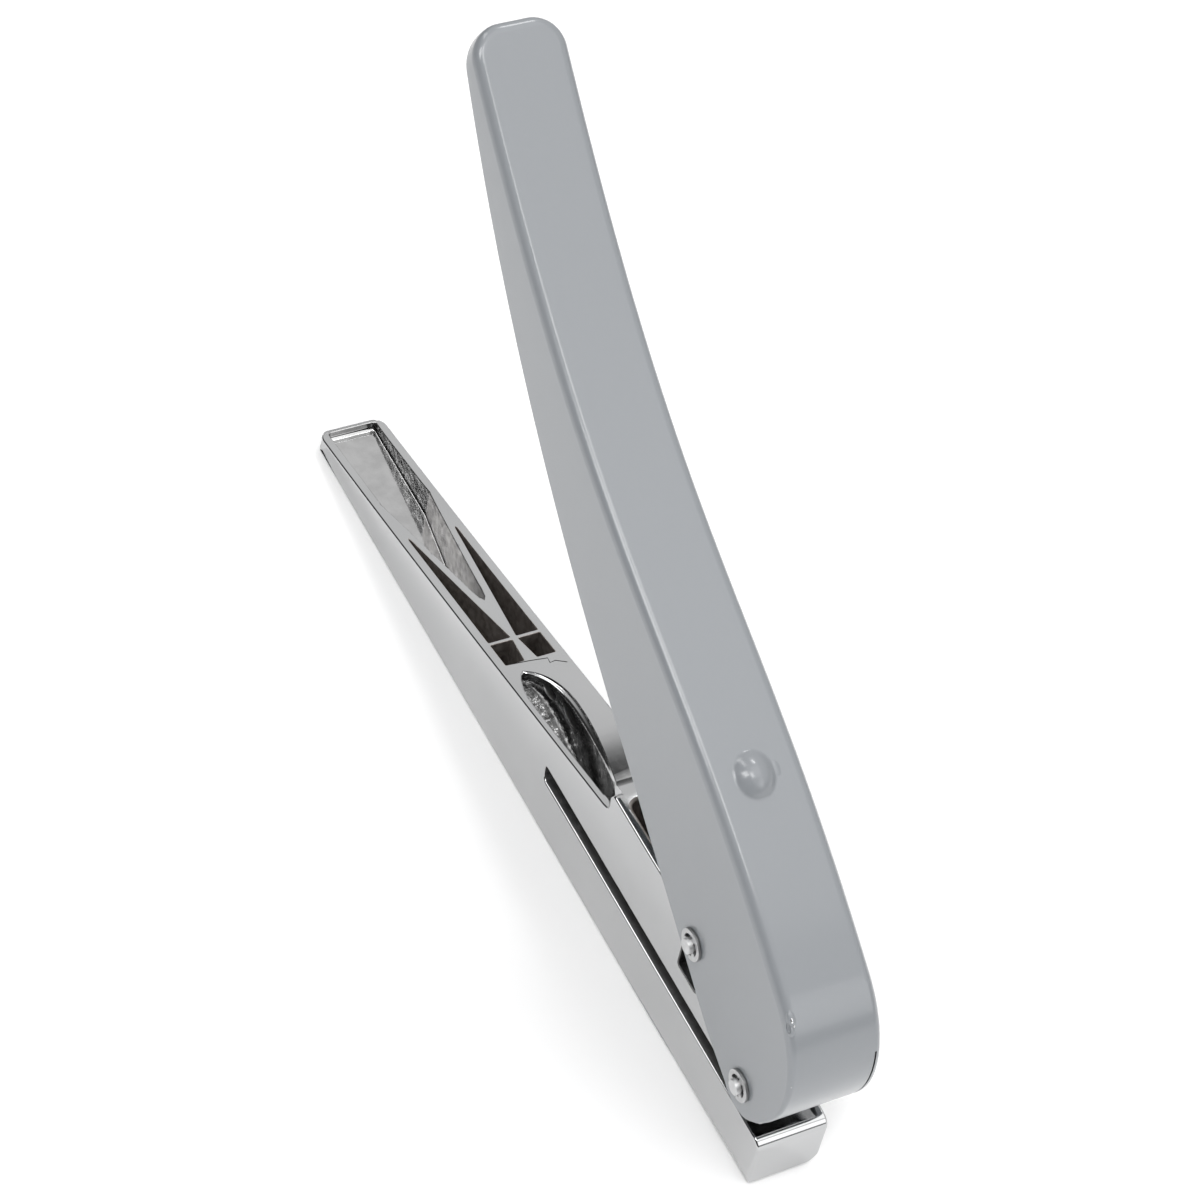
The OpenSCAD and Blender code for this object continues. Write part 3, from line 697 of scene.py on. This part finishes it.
# %% Finishes by place
for finish in (shaded_wall_cast, shaded_rib_cast, shaded_leaf_floor, shaded_slot_cast):
    casting.data.materials.append(finish)
slots = {m.name: i for i, m in enumerate(casting.data.materials)}
WALL_END_X, LIP_Z, MARGIN = -152, 18.9, 0.1
for face in casting.data.polygons:
    at, out = face.center / MM, face.normal
    # Trough walls that face the near side take the darker wall and rib finishes: painted shade.
    if face.material_index == slots["trough_cast"] and out.y < -0.5:
        face.material_index = slots["shaded_wall_cast" if at.x < WALL_END_X else "shaded_rib_cast"]
    # Floor faces of the leaf take the near-black finish, painted shade; its lip tops take bright chrome.
    if face.material_index == slots["leaf_cast"] and out.z > 0.75 and at.z > LIP_Z:
        face.material_index = slots["bright_chrome"]
    elif face.material_index == slots["leaf_cast"] and out.z > 0.6:
        face.material_index = slots["shaded_leaf_floor"]
    # The inside of the slot takes the dark finish: painted shade.
    inside = BED_Z - MARGIN < at.z < SLOT_Z + MARGIN and THROAT_X - MARGIN < at.x < SLOT_X
    if inside and abs(out.y) < 0.2 and face.material_index == slots["bright_chrome"]:
        face.material_index = slots["shaded_slot_cast"]
shade(casting)
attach(casting, "base")
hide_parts("base_casting")

# %% [markdown]
# ## The lever
# One sheet of steel, folded to a channel, with its nose strip bent round between the side plates. Its
# cross-section is laid at stations from the nose to the tip. At the tip's corners the stations follow the
# edge of the sheet, so the bend keeps its radius everywhere. The small dome that takes the spring is raised
# in the same grid, with a fillet at its foot.

# %% Sizes of the lever, in its own frame
OPEN = math.radians(34)
LEVER_HALF, SHEET, BEND, TIP_R = 8.75, 1.2, 2.0, 6.0
REACH = 181.2
TIP_U = REACH - TIP_R
NOSE_U, NOSE_V, NOSE_R, NOSE_TOP = 13.9, 4.6, 20.7, 25.3
TIP_TOP, TIP_SLOPE = 16.3, 0.13
LOW_EDGE, LOW_RISE, FLAT_U, LOW_POWER = -7.5, 20.8, 60, 2.35
TOP = [(NOSE_U, NOSE_TOP), (NOSE_U + 65, NOSE_TOP), (NOSE_U + 74, 4.9), (TIP_U, TIP_TOP)]
DOME_T, DOME_R, DOME_H, DOME_Y = 0.215, (4.1, 3.6), 1.9, -0.5
LENS_R, LENS_H, LENS_Y = (1.5, 0.6), 0.16, 3.6
DRIVE_R, DRIVE_OPEN = 24.8, math.radians(28.9)
EASE = 0.16
dome_u, dome_v = bezier(TOP, DOME_T)


def lever_place(u, y, v):
    """From the lever's frame (back along its lower edge, across, up) to the open pose."""
    x = -u * math.cos(OPEN) + v * math.sin(OPEN)
    return (x, y, PIVOT_Z + u * math.sin(OPEN) + v * math.cos(OPEN))


def low_v(u):
    """Height of the sheet's lower edge: flat in front, then rising to the tip."""
    return LOW_EDGE + LOW_RISE * (max(0.0, u - FLAT_U) / (REACH - FLAT_U)) ** LOW_POWER


def top_v(u):
    """Height of the lever's top, found on its curve by halving."""
    if u >= TIP_U:
        return TIP_TOP + TIP_SLOPE * (u - TIP_U)
    low, high = 0.0, 1.0
    for _ in range(40):
        t = (low + high) / 2
        low, high = (t, high) if bezier(TOP, t).x < u else (low, t)
    return bezier(TOP, low).y


def swell(u, y, middle, radius, height):
    """A round rise, eased at its foot."""
    lift = 1 - ((u - dome_u) / radius[0]) ** 2 - ((y - middle) / radius[1]) ** 2
    if abs(lift) < EASE:
        lift = (lift + EASE) ** 2 / (4 * EASE)
    return height * max(0.0, lift)


def dome_rise(u, y):
    """The dome, with a faint lens beside it that the press left."""
    return swell(u, y, DOME_Y, DOME_R, DOME_H) + swell(u, y, LENS_Y, LENS_R, LENS_H)


# %% Stations round half of the sheet's edge
COLUMNS, BEND_STEPS, TIP_STEPS, FAR_STEPS = 64, 8, 16, 70
NEAR_STEP, DOME_STEP, DOME_ZONE = 2.2, 0.2, 6
# The sheet's cut edge, as (depth into the sheet, height) from its middle outward and inward.
OUTER_RIM = ((0.6, 0), (0.35, 0), (0.12, 0.1), (0, 0.35))
INNER_RIM = ((0.85, 0), (1.08, 0.1), (SHEET, 0.35))


def stations():
    """Distance, half width and inward direction along the edge, from the nose round the corner to the tip."""
    near = [NOSE_U + 0.05 + NEAR_STEP * k for k in range(14)]
    dome = [dome_u + DOME_STEP * k for k in range(-30, 31)]
    start = dome_u + DOME_ZONE
    far = [start + (TIP_U - start) * k / FAR_STEPS for k in range(1, FAR_STEPS + 1)]
    rows = sorted({(u, LEVER_HALF, 0.0, -1.0) for u in near + dome + far if u <= TIP_U})
    for s, c in quarter(TIP_STEPS)[1:]:
        rows.append((TIP_U + TIP_R * s, LEVER_HALF - TIP_R + TIP_R * c, -s, -c))
    return rows


def half_section(row):
    """Near half of one section: up the outside and over the bend, and the same for the inside."""
    u, w, nu, nw = row

    def at(depth, v):
        return (u + nu * depth, -(w + nw * depth), v)

    def low(depth):
        return low_v(u + nu * depth)

    def top(depth):
        return top_v(u + nu * depth)

    outer = [at(d, low(d) + h) for d, h in OUTER_RIM]
    inner = [at(d, low(d) + h) for d, h in INNER_RIM]
    r = BEND - SHEET
    for s, c in quarter(BEND_STEPS):
        outer.append(at(BEND * (1 - c), top(BEND * (1 - c)) - BEND * (1 - s)))
        inner.append(at(SHEET + r * (1 - c), top(SHEET + r * (1 - c)) - SHEET - r * (1 - s)))
    return outer, inner


# %% The folded channel
def bridge(points, drop):
    """Columns over the top from the near edge to the far one."""
    u, y, _ = points[-1]
    made = []
    for k in range(1, COLUMNS):
        across_y = y + (-2 * y) * k / COLUMNS
        made.append((u, across_y, top_v(u) - drop + dome_rise(u, across_y)))
    return made


def whole_section(row):
    outer, inner = half_section(row)
    far_outer = [(u, -y, v) for u, y, v in reversed(outer)]
    far_inner = [(u, -y, v) for u, y, v in inner]
    loop = outer + bridge(outer, 0) + far_outer
    back = bridge(inner, SHEET)
    return loop + far_inner + [(u, -y, v) for u, y, v in back] + list(reversed(inner))


def tip_faces():
    """The tip runs straight across: each row of the last section joins its mirror image."""
    out, ins, mid = len(OUTER_RIM) + BEND_STEPS + 1, len(INNER_RIM) + BEND_STEPS + 1, COLUMNS - 1
    near_out = list(range(out))
    far_out = [out + mid + out - 1 - j for j in range(out)]
    far_in = [2 * out + mid + j for j in range(ins)]
    near_in = [2 * out + 2 * mid + ins + ins - 1 - j for j in range(ins)]
    faces = [(near_out[0], far_out[0], far_in[0], near_in[0])]
    for near, far, columns in (
        (near_out, far_out, range(out, out + mid)),
        (near_in, far_in, range(2 * out + 2 * mid + ins - 1, 2 * out + mid + ins - 1, -1)),
    ):
        for j in range(len(near) - 2):
            faces.append((near[j], near[j + 1], far[j + 1], far[j]))
        faces.append((near[-2], near[-1], *columns, far[-1], far[-2]))
    return faces


rings = [[lever_place(*p) for p in whole_section(row)] for row in stations()]
shell = solid("lever_shell", rings, enamel, caps=(0,), end=tip_faces())
print("lever stations:", len(rings), "points in each:", len(rings[0]))

# %% [markdown]
# The nose is a slab in the outline of the side plates. Its edge grows from almost sharp at the open end to
# the full bend where it meets the channel, and a hollow cut from it leaves one sheet's thickness. A hair's
# difference in size keeps its faces from lying exactly in the channel's, which Booleans don't like.

# %% The nose
HAIR, LOBE_R, LOBE_EDGE, STRIP_EDGE, NOSE_STEPS = 0.003, 6.4, 0.25, 0.4, 45
nose_middle = (-NOSE_U, NOSE_V)
nose_end = NOSE_R - NOSE_U


def lever_across(p, h):
    return lever_place(-p[0], h, p[1])


nose_side = [(-17, LOW_EDGE + HAIR), (-9.5, LOW_EDGE + HAIR)] + arc((0, 0), LOBE_R, -98, -10, 20)
nose_side += [(nose_end - HAIR, 1.6)]
nose_edge = [LOBE_EDGE] * len(nose_side)
nose_side += arc(nose_middle, NOSE_R - HAIR, 0, 90, NOSE_STEPS)
nose_edge += [STRIP_EDGE + (BEND - STRIP_EDGE) * (k / NOSE_STEPS) ** 1.3 for k in range(NOSE_STEPS + 1)]
nose_side += [(-15, 25.28), (-17, 25.25)]
nose_edge += [BEND, BEND]
wide = LEVER_HALF - HAIR
nose = soft_slab("nose", nose_side, -wide, wide, enamel, nose_edge, lay=lever_across, steps=8)
hollow = [(-19, NOSE_TOP - SHEET + HAIR)] + arc(nose_middle, NOSE_R - SHEET + HAIR, 90, -1, 36)
hollow += [(nose_end + 3, NOSE_V - 0.4), (nose_end + 3, -12), (-19, -12)]
wide = LEVER_HALF - SHEET + HAIR
cavity = soft_slab("cavity", hollow, -wide, wide, enamel, 0.3, lay=lever_across, steps=4)
combine(nose, [cavity], "DIFFERENCE")
combine(shell, [nose], "UNION")
print("lever with its nose:", len(shell.data.polygons), "faces")

# %% [markdown]
# Bending leaves traces. The strip meets the far plate in an open seam, whose inside is painted near-black as
# shade, and at the near corner the sheet had too much to fold, which left a small wrinkle. The wrinkle is a
# few squashed balls, joined on or cut away; two of them take a near-white steel, a painted highlight.

# %% Seam, wrinkle and pin bores
SEAM_FROM, SEAM_TO, SEAM_NEAR_Y, SEAM_FAR_Y = -4, 48, 7.45, 7.75
seam = arc(nose_middle, NOSE_R + 1, SEAM_FROM, SEAM_TO, 20)
seam += arc(nose_middle, NOSE_R - 0.7, SEAM_TO, SEAM_FROM, 20)
# The seam's faces take the near-black steel: painted shade in the gap.
cutters = [soft_slab("seam", seam, SEAM_NEAR_Y, SEAM_FAR_Y, seam_shade_steel, 0.01, lay=lever_across, steps=2)]


def fold(around, y, lift, size, finish=enamel):
    """A ball squeezed to the sheet, around the nose from the start of its bend."""
    a = math.radians(around)

    def lay(p, q, h):
        along, out = size[0] * p, NOSE_R + lift + size[2] * h
        u = NOSE_U - out * math.sin(a) - along * math.cos(a)
        return lever_place(u, y + size[1] * q, NOSE_V + out * math.cos(a) - along * math.sin(a))

    return turned("fold", ball, finish, lay, 24)


folds = [
    fold(11, -7.5, -0.4, (1.5, 0.8, 0.7)),
    fold(17, -7.8, -0.55, (1.1, 0.6, 0.75)),
    # These two take the near-white steel: a painted highlight.
    fold(11.5, -7.6, -0.15, (0.75, 0.4, 0.5), fold_highlight_steel),
    fold(14.2, -7.3, -0.3, (0.6, 0.25, 0.35), fold_highlight_steel),
]
combine(shell, folds, "UNION")
cutters.append(fold(15, -8.25, -0.3, (1.0, 0.4, 0.5)))
drive_turn = DRIVE_OPEN - OPEN
for u, v in ((0, 0), (DRIVE_R * math.cos(drive_turn), DRIVE_R * math.sin(drive_turn))):
    hole = [(0, -12), (BORE_R, -12), (BORE_R, 12), (0, 12)]
    cutters.append(turned("bore", hole, enamel, lambda a, b, h: lever_place(u + a, h, v + b)))
combine(shell, cutters, "DIFFERENCE")
shade(shell, 40)
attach(shell, "lever")
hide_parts("lever")

# %% [markdown]
# ## Pins, rings and washers
# Two pins cross the mechanism. Each has a groove near both ends, and a stamped ring snaps into it from the
# side. The pin ends are slightly domed and their edges broken, as a lathe leaves them.

# %% Pins
DRIVE_AT = (-DRIVE_R * math.cos(DRIVE_OPEN), PIVOT_Z + DRIVE_R * math.sin(DRIVE_OPEN))
PINS = {"pivot": (0.0, PIVOT_Z), "drive": DRIVE_AT}
PIN_R, GROOVE_R, PIN_BODY, PIN_END = 1.5, 1.15, 8.82, 10.45
half_pin = [(GROOVE_R, 8.85), (GROOVE_R, 9.45), (PIN_R, 9.45), (PIN_R, 10.15)]
half_pin += [(1.42, 10.32), (1.22, 10.41), (0.6, PIN_END), (0, PIN_END)]
pin_profile = [(r, -h) for r, h in reversed(half_pin)] + [(PIN_R, -PIN_BODY), (PIN_R, PIN_BODY)] + half_pin
for name, (x, z) in PINS.items():
    pin = turned(f"{name}_pin_turned", pin_profile, pin_steel, lambda a, b, h: (x + a, h, z + b))
    shade(pin, 30)
    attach(pin, "lever")
    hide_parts(f"{name}_pin")

# %% [markdown]
# A retaining ring is stamped from spring steel: an open circle with three prongs that grip the groove. It is
# one outline with thickness. Its sheared edge is rougher than its faces, and painted darker as shade.

# %% Retaining rings
RING_R, RING_IN, PRONG_R, MOUTH_HALF = 3, 2.1, 1.18, 1.15
RING_HALF_T, RING_EDGE, RING_Y, MOUTH_TURN = 0.3, 0.09, 9.15, math.radians(285)
GAPS, PRONGS, PRONG_HALF = ((158, 134), (102, 15), (-15, -102), (-134, -158)), (118, 0, -118), 22


def ring_outline():
    """Outer circle, then the inside with three prongs, open at the mouth."""
    mouth = math.degrees(math.asin(MOUTH_HALF / RING_R))
    made = arc((0, 0), RING_R, -180 + mouth, 180 - mouth, 56)
    for k, (start, end) in enumerate(GAPS):
        made += arc((0, 0), RING_IN, start, end, max(3, abs(end - start) // 7))
        if k < len(PRONGS):
            made += arc((0, 0), PRONG_R, PRONGS[k] + PRONG_HALF, PRONGS[k] - PRONG_HALF, 6)
    return made


def ring(name, x, y, z):
    s, c = math.sin(MOUTH_TURN), math.cos(MOUTH_TURN)

    def lay(p, h):
        return (x + p[0] * c + p[1] * s, y + h, z - p[0] * s + p[1] * c)

    outline = ring_outline()
    made = soft_slab(name, outline, -RING_HALF_T, RING_HALF_T, ring_steel, RING_EDGE, lay=lay, steps=3)
    made.data.materials.append(ring_edge_shade_steel)
    # Edge faces take the darker steel: painted shade.
    for face in made.data.polygons:
        face.material_index = int(abs(face.normal.y) < 0.5)
    return shade(made, 45)


for name, (x, z) in PINS.items():
    for side_name, y in (("near", -RING_Y), ("far", RING_Y)):
        made = ring(f"{name}_ring_{side_name}_stamped", x, y, z)
        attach(made, "lever")
        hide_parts(f"{name}_ring_{side_name}")

# %% [markdown]
# Thin washers keep the lever's plates off the base. Each is one profile turned about the pivot, joined end to
# end, so it needs no caps.

# %% Washers
WASHER = [(1.56, 7.10), (1.62, 7.08), (3.3, 7.08), (3.4, 7.14), (3.4, 7.42)]
WASHER += [(3.3, 7.47), (1.62, 7.47), (1.56, 7.42), (1.56, 7.10)]
for side_name, m in (("near", -1), ("far", 1)):
    rings = [[(a, m * h, PIVOT_Z + b) for a, b in arc((0, 0), r, 0, 360, 48)[:-1]] for r, h in WASHER]
    washer = solid(f"washer_{side_name}", rings, washer_steel, caps=())
    shade(washer, 30)
    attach(washer, "lever")
    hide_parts(f"pivot_washer_{side_name}")

# %% [markdown]
# ## The return spring
# Drawn wire wound on a mandrel follows a rule, so Geometry Nodes make it: a line of points is bent into a
# helix whose pitch tightens at both ends, and a round section is swept along it. It leans from its peg in
# the jaw up to the dome.

# %% Sizes of the coil
COIL_R, WIRE_R, CURLS, CURL_STEPS, TOP_GAP = 2.4, 0.4, 14, 28, 0.75
SPRING_FOOT = Vector((PEG_X, 0, 21.15))
SPRING_TOP = Vector(lever_place(dome_u, 0, dome_v - SHEET - WIRE_R - TOP_GAP))
spring_line = SPRING_TOP - SPRING_FOOT
COIL = {
    "Length": spring_line.length * MM,
    "Radius": COIL_R * MM,
    "Wire radius": WIRE_R * MM,
    "Curls": float(CURLS),
    "Tightness": 0.6,
}
print("coil sizes:", COIL)


# %% Wind the coil
def math_node(tree, how, a, b=0):
    node = new_node(tree, "ShaderNodeMath", {0: a, 1: b})
    node.operation = how
    return node.outputs[0]


def coil_tree(finish):
    tree = bpy.data.node_groups.new("wound_coil", "GeometryNodeTree")
    tree.interface.new_socket("Geometry", in_out="OUTPUT", socket_type="NodeSocketGeometry")
    sizes = {}
    for name, value in COIL.items():
        socket = tree.interface.new_socket(name, in_out="INPUT", socket_type="NodeSocketFloat")
        socket.default_value = value
        sizes[name] = socket.identifier
    given = tree.nodes.new("NodeGroupInput").outputs
    count = CURLS * CURL_STEPS
    share = math_node(tree, "DIVIDE", tree.nodes.new("GeometryNodeInputIndex").outputs[0], count)
    turn = math_node(tree, "MULTIPLY", share, 2 * math.pi)
    angle = math_node(tree, "MULTIPLY", turn, given["Curls"])
    swing = math_node(tree, "MULTIPLY", math_node(tree, "SINE", turn), given["Tightness"])
    rise = math_node(tree, "SUBTRACT", share, math_node(tree, "DIVIDE", swing, 2 * math.pi))
    bend = {
        "X": math_node(tree, "MULTIPLY", math_node(tree, "COSINE", angle), given["Radius"]),
        "Y": math_node(tree, "MULTIPLY", math_node(tree, "SINE", angle), given["Radius"]),
        "Z": math_node(tree, "MULTIPLY", rise, given["Length"]),
    }
    point = new_node(tree, "ShaderNodeCombineXYZ", bend).outputs["Vector"]
    line = new_node(tree, "GeometryNodeMeshLine", {"Count": count + 1}).outputs["Mesh"]
    curve = new_node(tree, "GeometryNodeMeshToCurve", {"Mesh": line}).outputs["Curve"]
    helix = new_node(tree, "GeometryNodeSetPosition", {"Geometry": curve, "Position": point})
    section = {"Resolution": 10, "Radius": given["Wire radius"]}
    section = new_node(tree, "GeometryNodeCurvePrimitiveCircle", section).outputs["Curve"]
    sweep = {"Curve": helix.outputs["Geometry"], "Profile Curve": section, "Fill Caps": True}
    wire = new_node(tree, "GeometryNodeCurveToMesh", sweep).outputs["Mesh"]
    paint = new_node(tree, "GeometryNodeSetMaterial", {"Geometry": wire, "Material": finish})
    new_node(tree, "NodeGroupOutput", {"Geometry": paint.outputs["Geometry"]})
    return tree, sizes


# %% Set the coil in place
tree, sizes = coil_tree(spring_steel)
holder = bpy.data.objects.new("coil_holder", bpy.data.meshes.new("coil_holder"))
scene.collection.objects.link(holder)
wind = holder.modifiers.new("wind", "NODES")
wind.node_group = tree
for name, value in COIL.items():
    wind[sizes[name]] = value
bpy.context.view_layer.update()
coil_mesh = bpy.data.meshes.new_from_object(holder.evaluated_get(bpy.context.evaluated_depsgraph_get()))
bpy.data.objects.remove(holder)
lean = spring_line.to_track_quat("Z", "Y").to_matrix().to_4x4()
coil_mesh.transform(Matrix.Translation(SPRING_FOOT * MM) @ lean)
for face in coil_mesh.polygons:
    face.use_smooth = True
coil = bpy.data.objects.new("return_coil", coil_mesh)
scene.collection.objects.link(coil)
print("coil faces:", len(coil_mesh.polygons))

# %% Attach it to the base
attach(coil, "base")
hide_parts("return_spring")
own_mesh(coil)

# %% [markdown]
# ## Punch and bushes
# These hide inside the jaw and show only from the front, through the slot and from below. Their solids
# already have the right shape, so they keep it and take the ground steel.

# %% Finish for the kept solids
KEPT = ("punch", "die_bush", "guide_bush")
for name in KEPT:
    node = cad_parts[name]
    node.data.materials.clear()
    node.data.materials.append(tool_steel)
print("kept solids finished:", KEPT)

# %% [markdown]
# ## Floor and light
# A pale floor fills the picture. Chrome only looks like chrome when it has something to mirror, so the sky
# isn't even: it is pale overhead and on the far side, dark on the near side, and dim along the horizon.

# %% Floor
FLOOR_HALF = 3
corners = [(x * FLOOR_HALF, y * FLOOR_HALF, 0) for x, y in ((-1, -1), (1, -1), (1, 1), (-1, 1))]
floor_mesh = bpy.data.meshes.new("floor")
floor_mesh.from_pydata(corners, [], [(0, 1, 2, 3)])
floor = bpy.data.objects.new("floor", floor_mesh)
scene.collection.objects.link(floor)
pale, _, shader, _ = new_finish("pale_floor")
set_inputs(shader, {"Base Color": (0.95, 0.95, 0.95, 1), "Roughness": 0.9, "Specular IOR Level": 0.1})
floor_mesh.materials.append(pale)
print("floor:", 2 * FLOOR_HALF, "m wide")

# %% World
UP_WEIGHT, FRONT_WEIGHT = 0.9, 0.22
SKY_EDGE, HORIZON, HORIZON_LEVEL = (0.30, 0.60), (0.02, 0.34), 0.25
SKY_DARK, SKY_LIGHT, SKY_STRENGTH = grey(0.05), grey(1.0), 0.88
world = bpy.data.worlds.new("studio")
scene.world = world
world.use_nodes = True
tree = world.node_tree
sky = tree.nodes.new("ShaderNodeTexCoord")
parts = new_node(tree, "ShaderNodeSeparateXYZ", {"Vector": sky.outputs["Generated"]}).outputs
height = math_node(tree, "MULTIPLY", parts["Z"], UP_WEIGHT)
front = math_node(tree, "MULTIPLY", math_node(tree, "MAXIMUM", parts["X"]), FRONT_WEIGHT)
away = math_node(tree, "ADD", math_node(tree, "ADD", height, parts["Y"]), front)
bright = spread(tree, away, 0, 1, *SKY_EDGE, "SMOOTHSTEP")
above = spread(tree, parts["Z"], HORIZON_LEVEL, 1, *HORIZON, "SMOOTHSTEP")
sky_grey = ramp(tree, math_node(tree, "MULTIPLY", bright, above), [(0.0, SKY_DARK), (1.0, SKY_LIGHT)])
set_inputs(tree.nodes["Background"], {"Color": sky_grey, "Strength": SKY_STRENGTH})
print("world:", world.name)

# %% [markdown]
# Seven lamps do the rest. Each has a task: key, over and fill light the whole, strip and edge draw the white
# lines along the top edges, nose and spark put the highlights on the nose and the dome. A lamp that would
# mirror as an ugly patch is kept out of reflections.

# %% Lamps
AIM = Vector((-0.08, 0, 0.03))
# Each lamp: its name, place, size and power, and whether reflections show it.
LAMPS = (
    ("key", (0.05, -0.6, 0.95), (0.35, 0.35), 3.0, True),
    ("over", (0.15, 0.25, 1.0), (0.8, 0.8), 2.0, True),
    ("fill", (0.6, -0.75, 0.5), (0.35, 0.35), 3.4, False),
    ("strip", (0.25, -0.2, 0.95), (0.4, 0.2), 1.6, True),
    ("edge", (-0.70, -0.25, 0.95), (0.62, 0.2), 1.5, True),
    ("nose", (0.81, 0.42, 0.52), (0.5, 0.5), 1.0, True),
    ("spark", (-0.51, 0.43, 0.96), (0.2, 0.2), 1.4, True),
)


def aimed(at):
    """A lamp's place and turn: it faces the part, with its long side along X."""
    back = (Vector(at) - AIM).normalized()
    along = Vector((1, 0, 0))
    along = (along - along.dot(back) * back).normalized()
    turn = Matrix((along, back.cross(along), back)).transposed()
    return Matrix.Translation(at) @ turn.to_4x4()


for name, at, size, power, mirrored in LAMPS:
    lamp = bpy.data.lights.new(name, "AREA")
    lamp.shape = "RECTANGLE"
    lamp.size, lamp.size_y = size
    lamp.energy = power
    stand = bpy.data.objects.new(name, lamp)
    stand.matrix_world = aimed(at)
    stand.visible_glossy = mirrored
    scene.collection.objects.link(stand)
scene.view_settings.view_transform = "Standard"
print("lamps:", len(LAMPS))
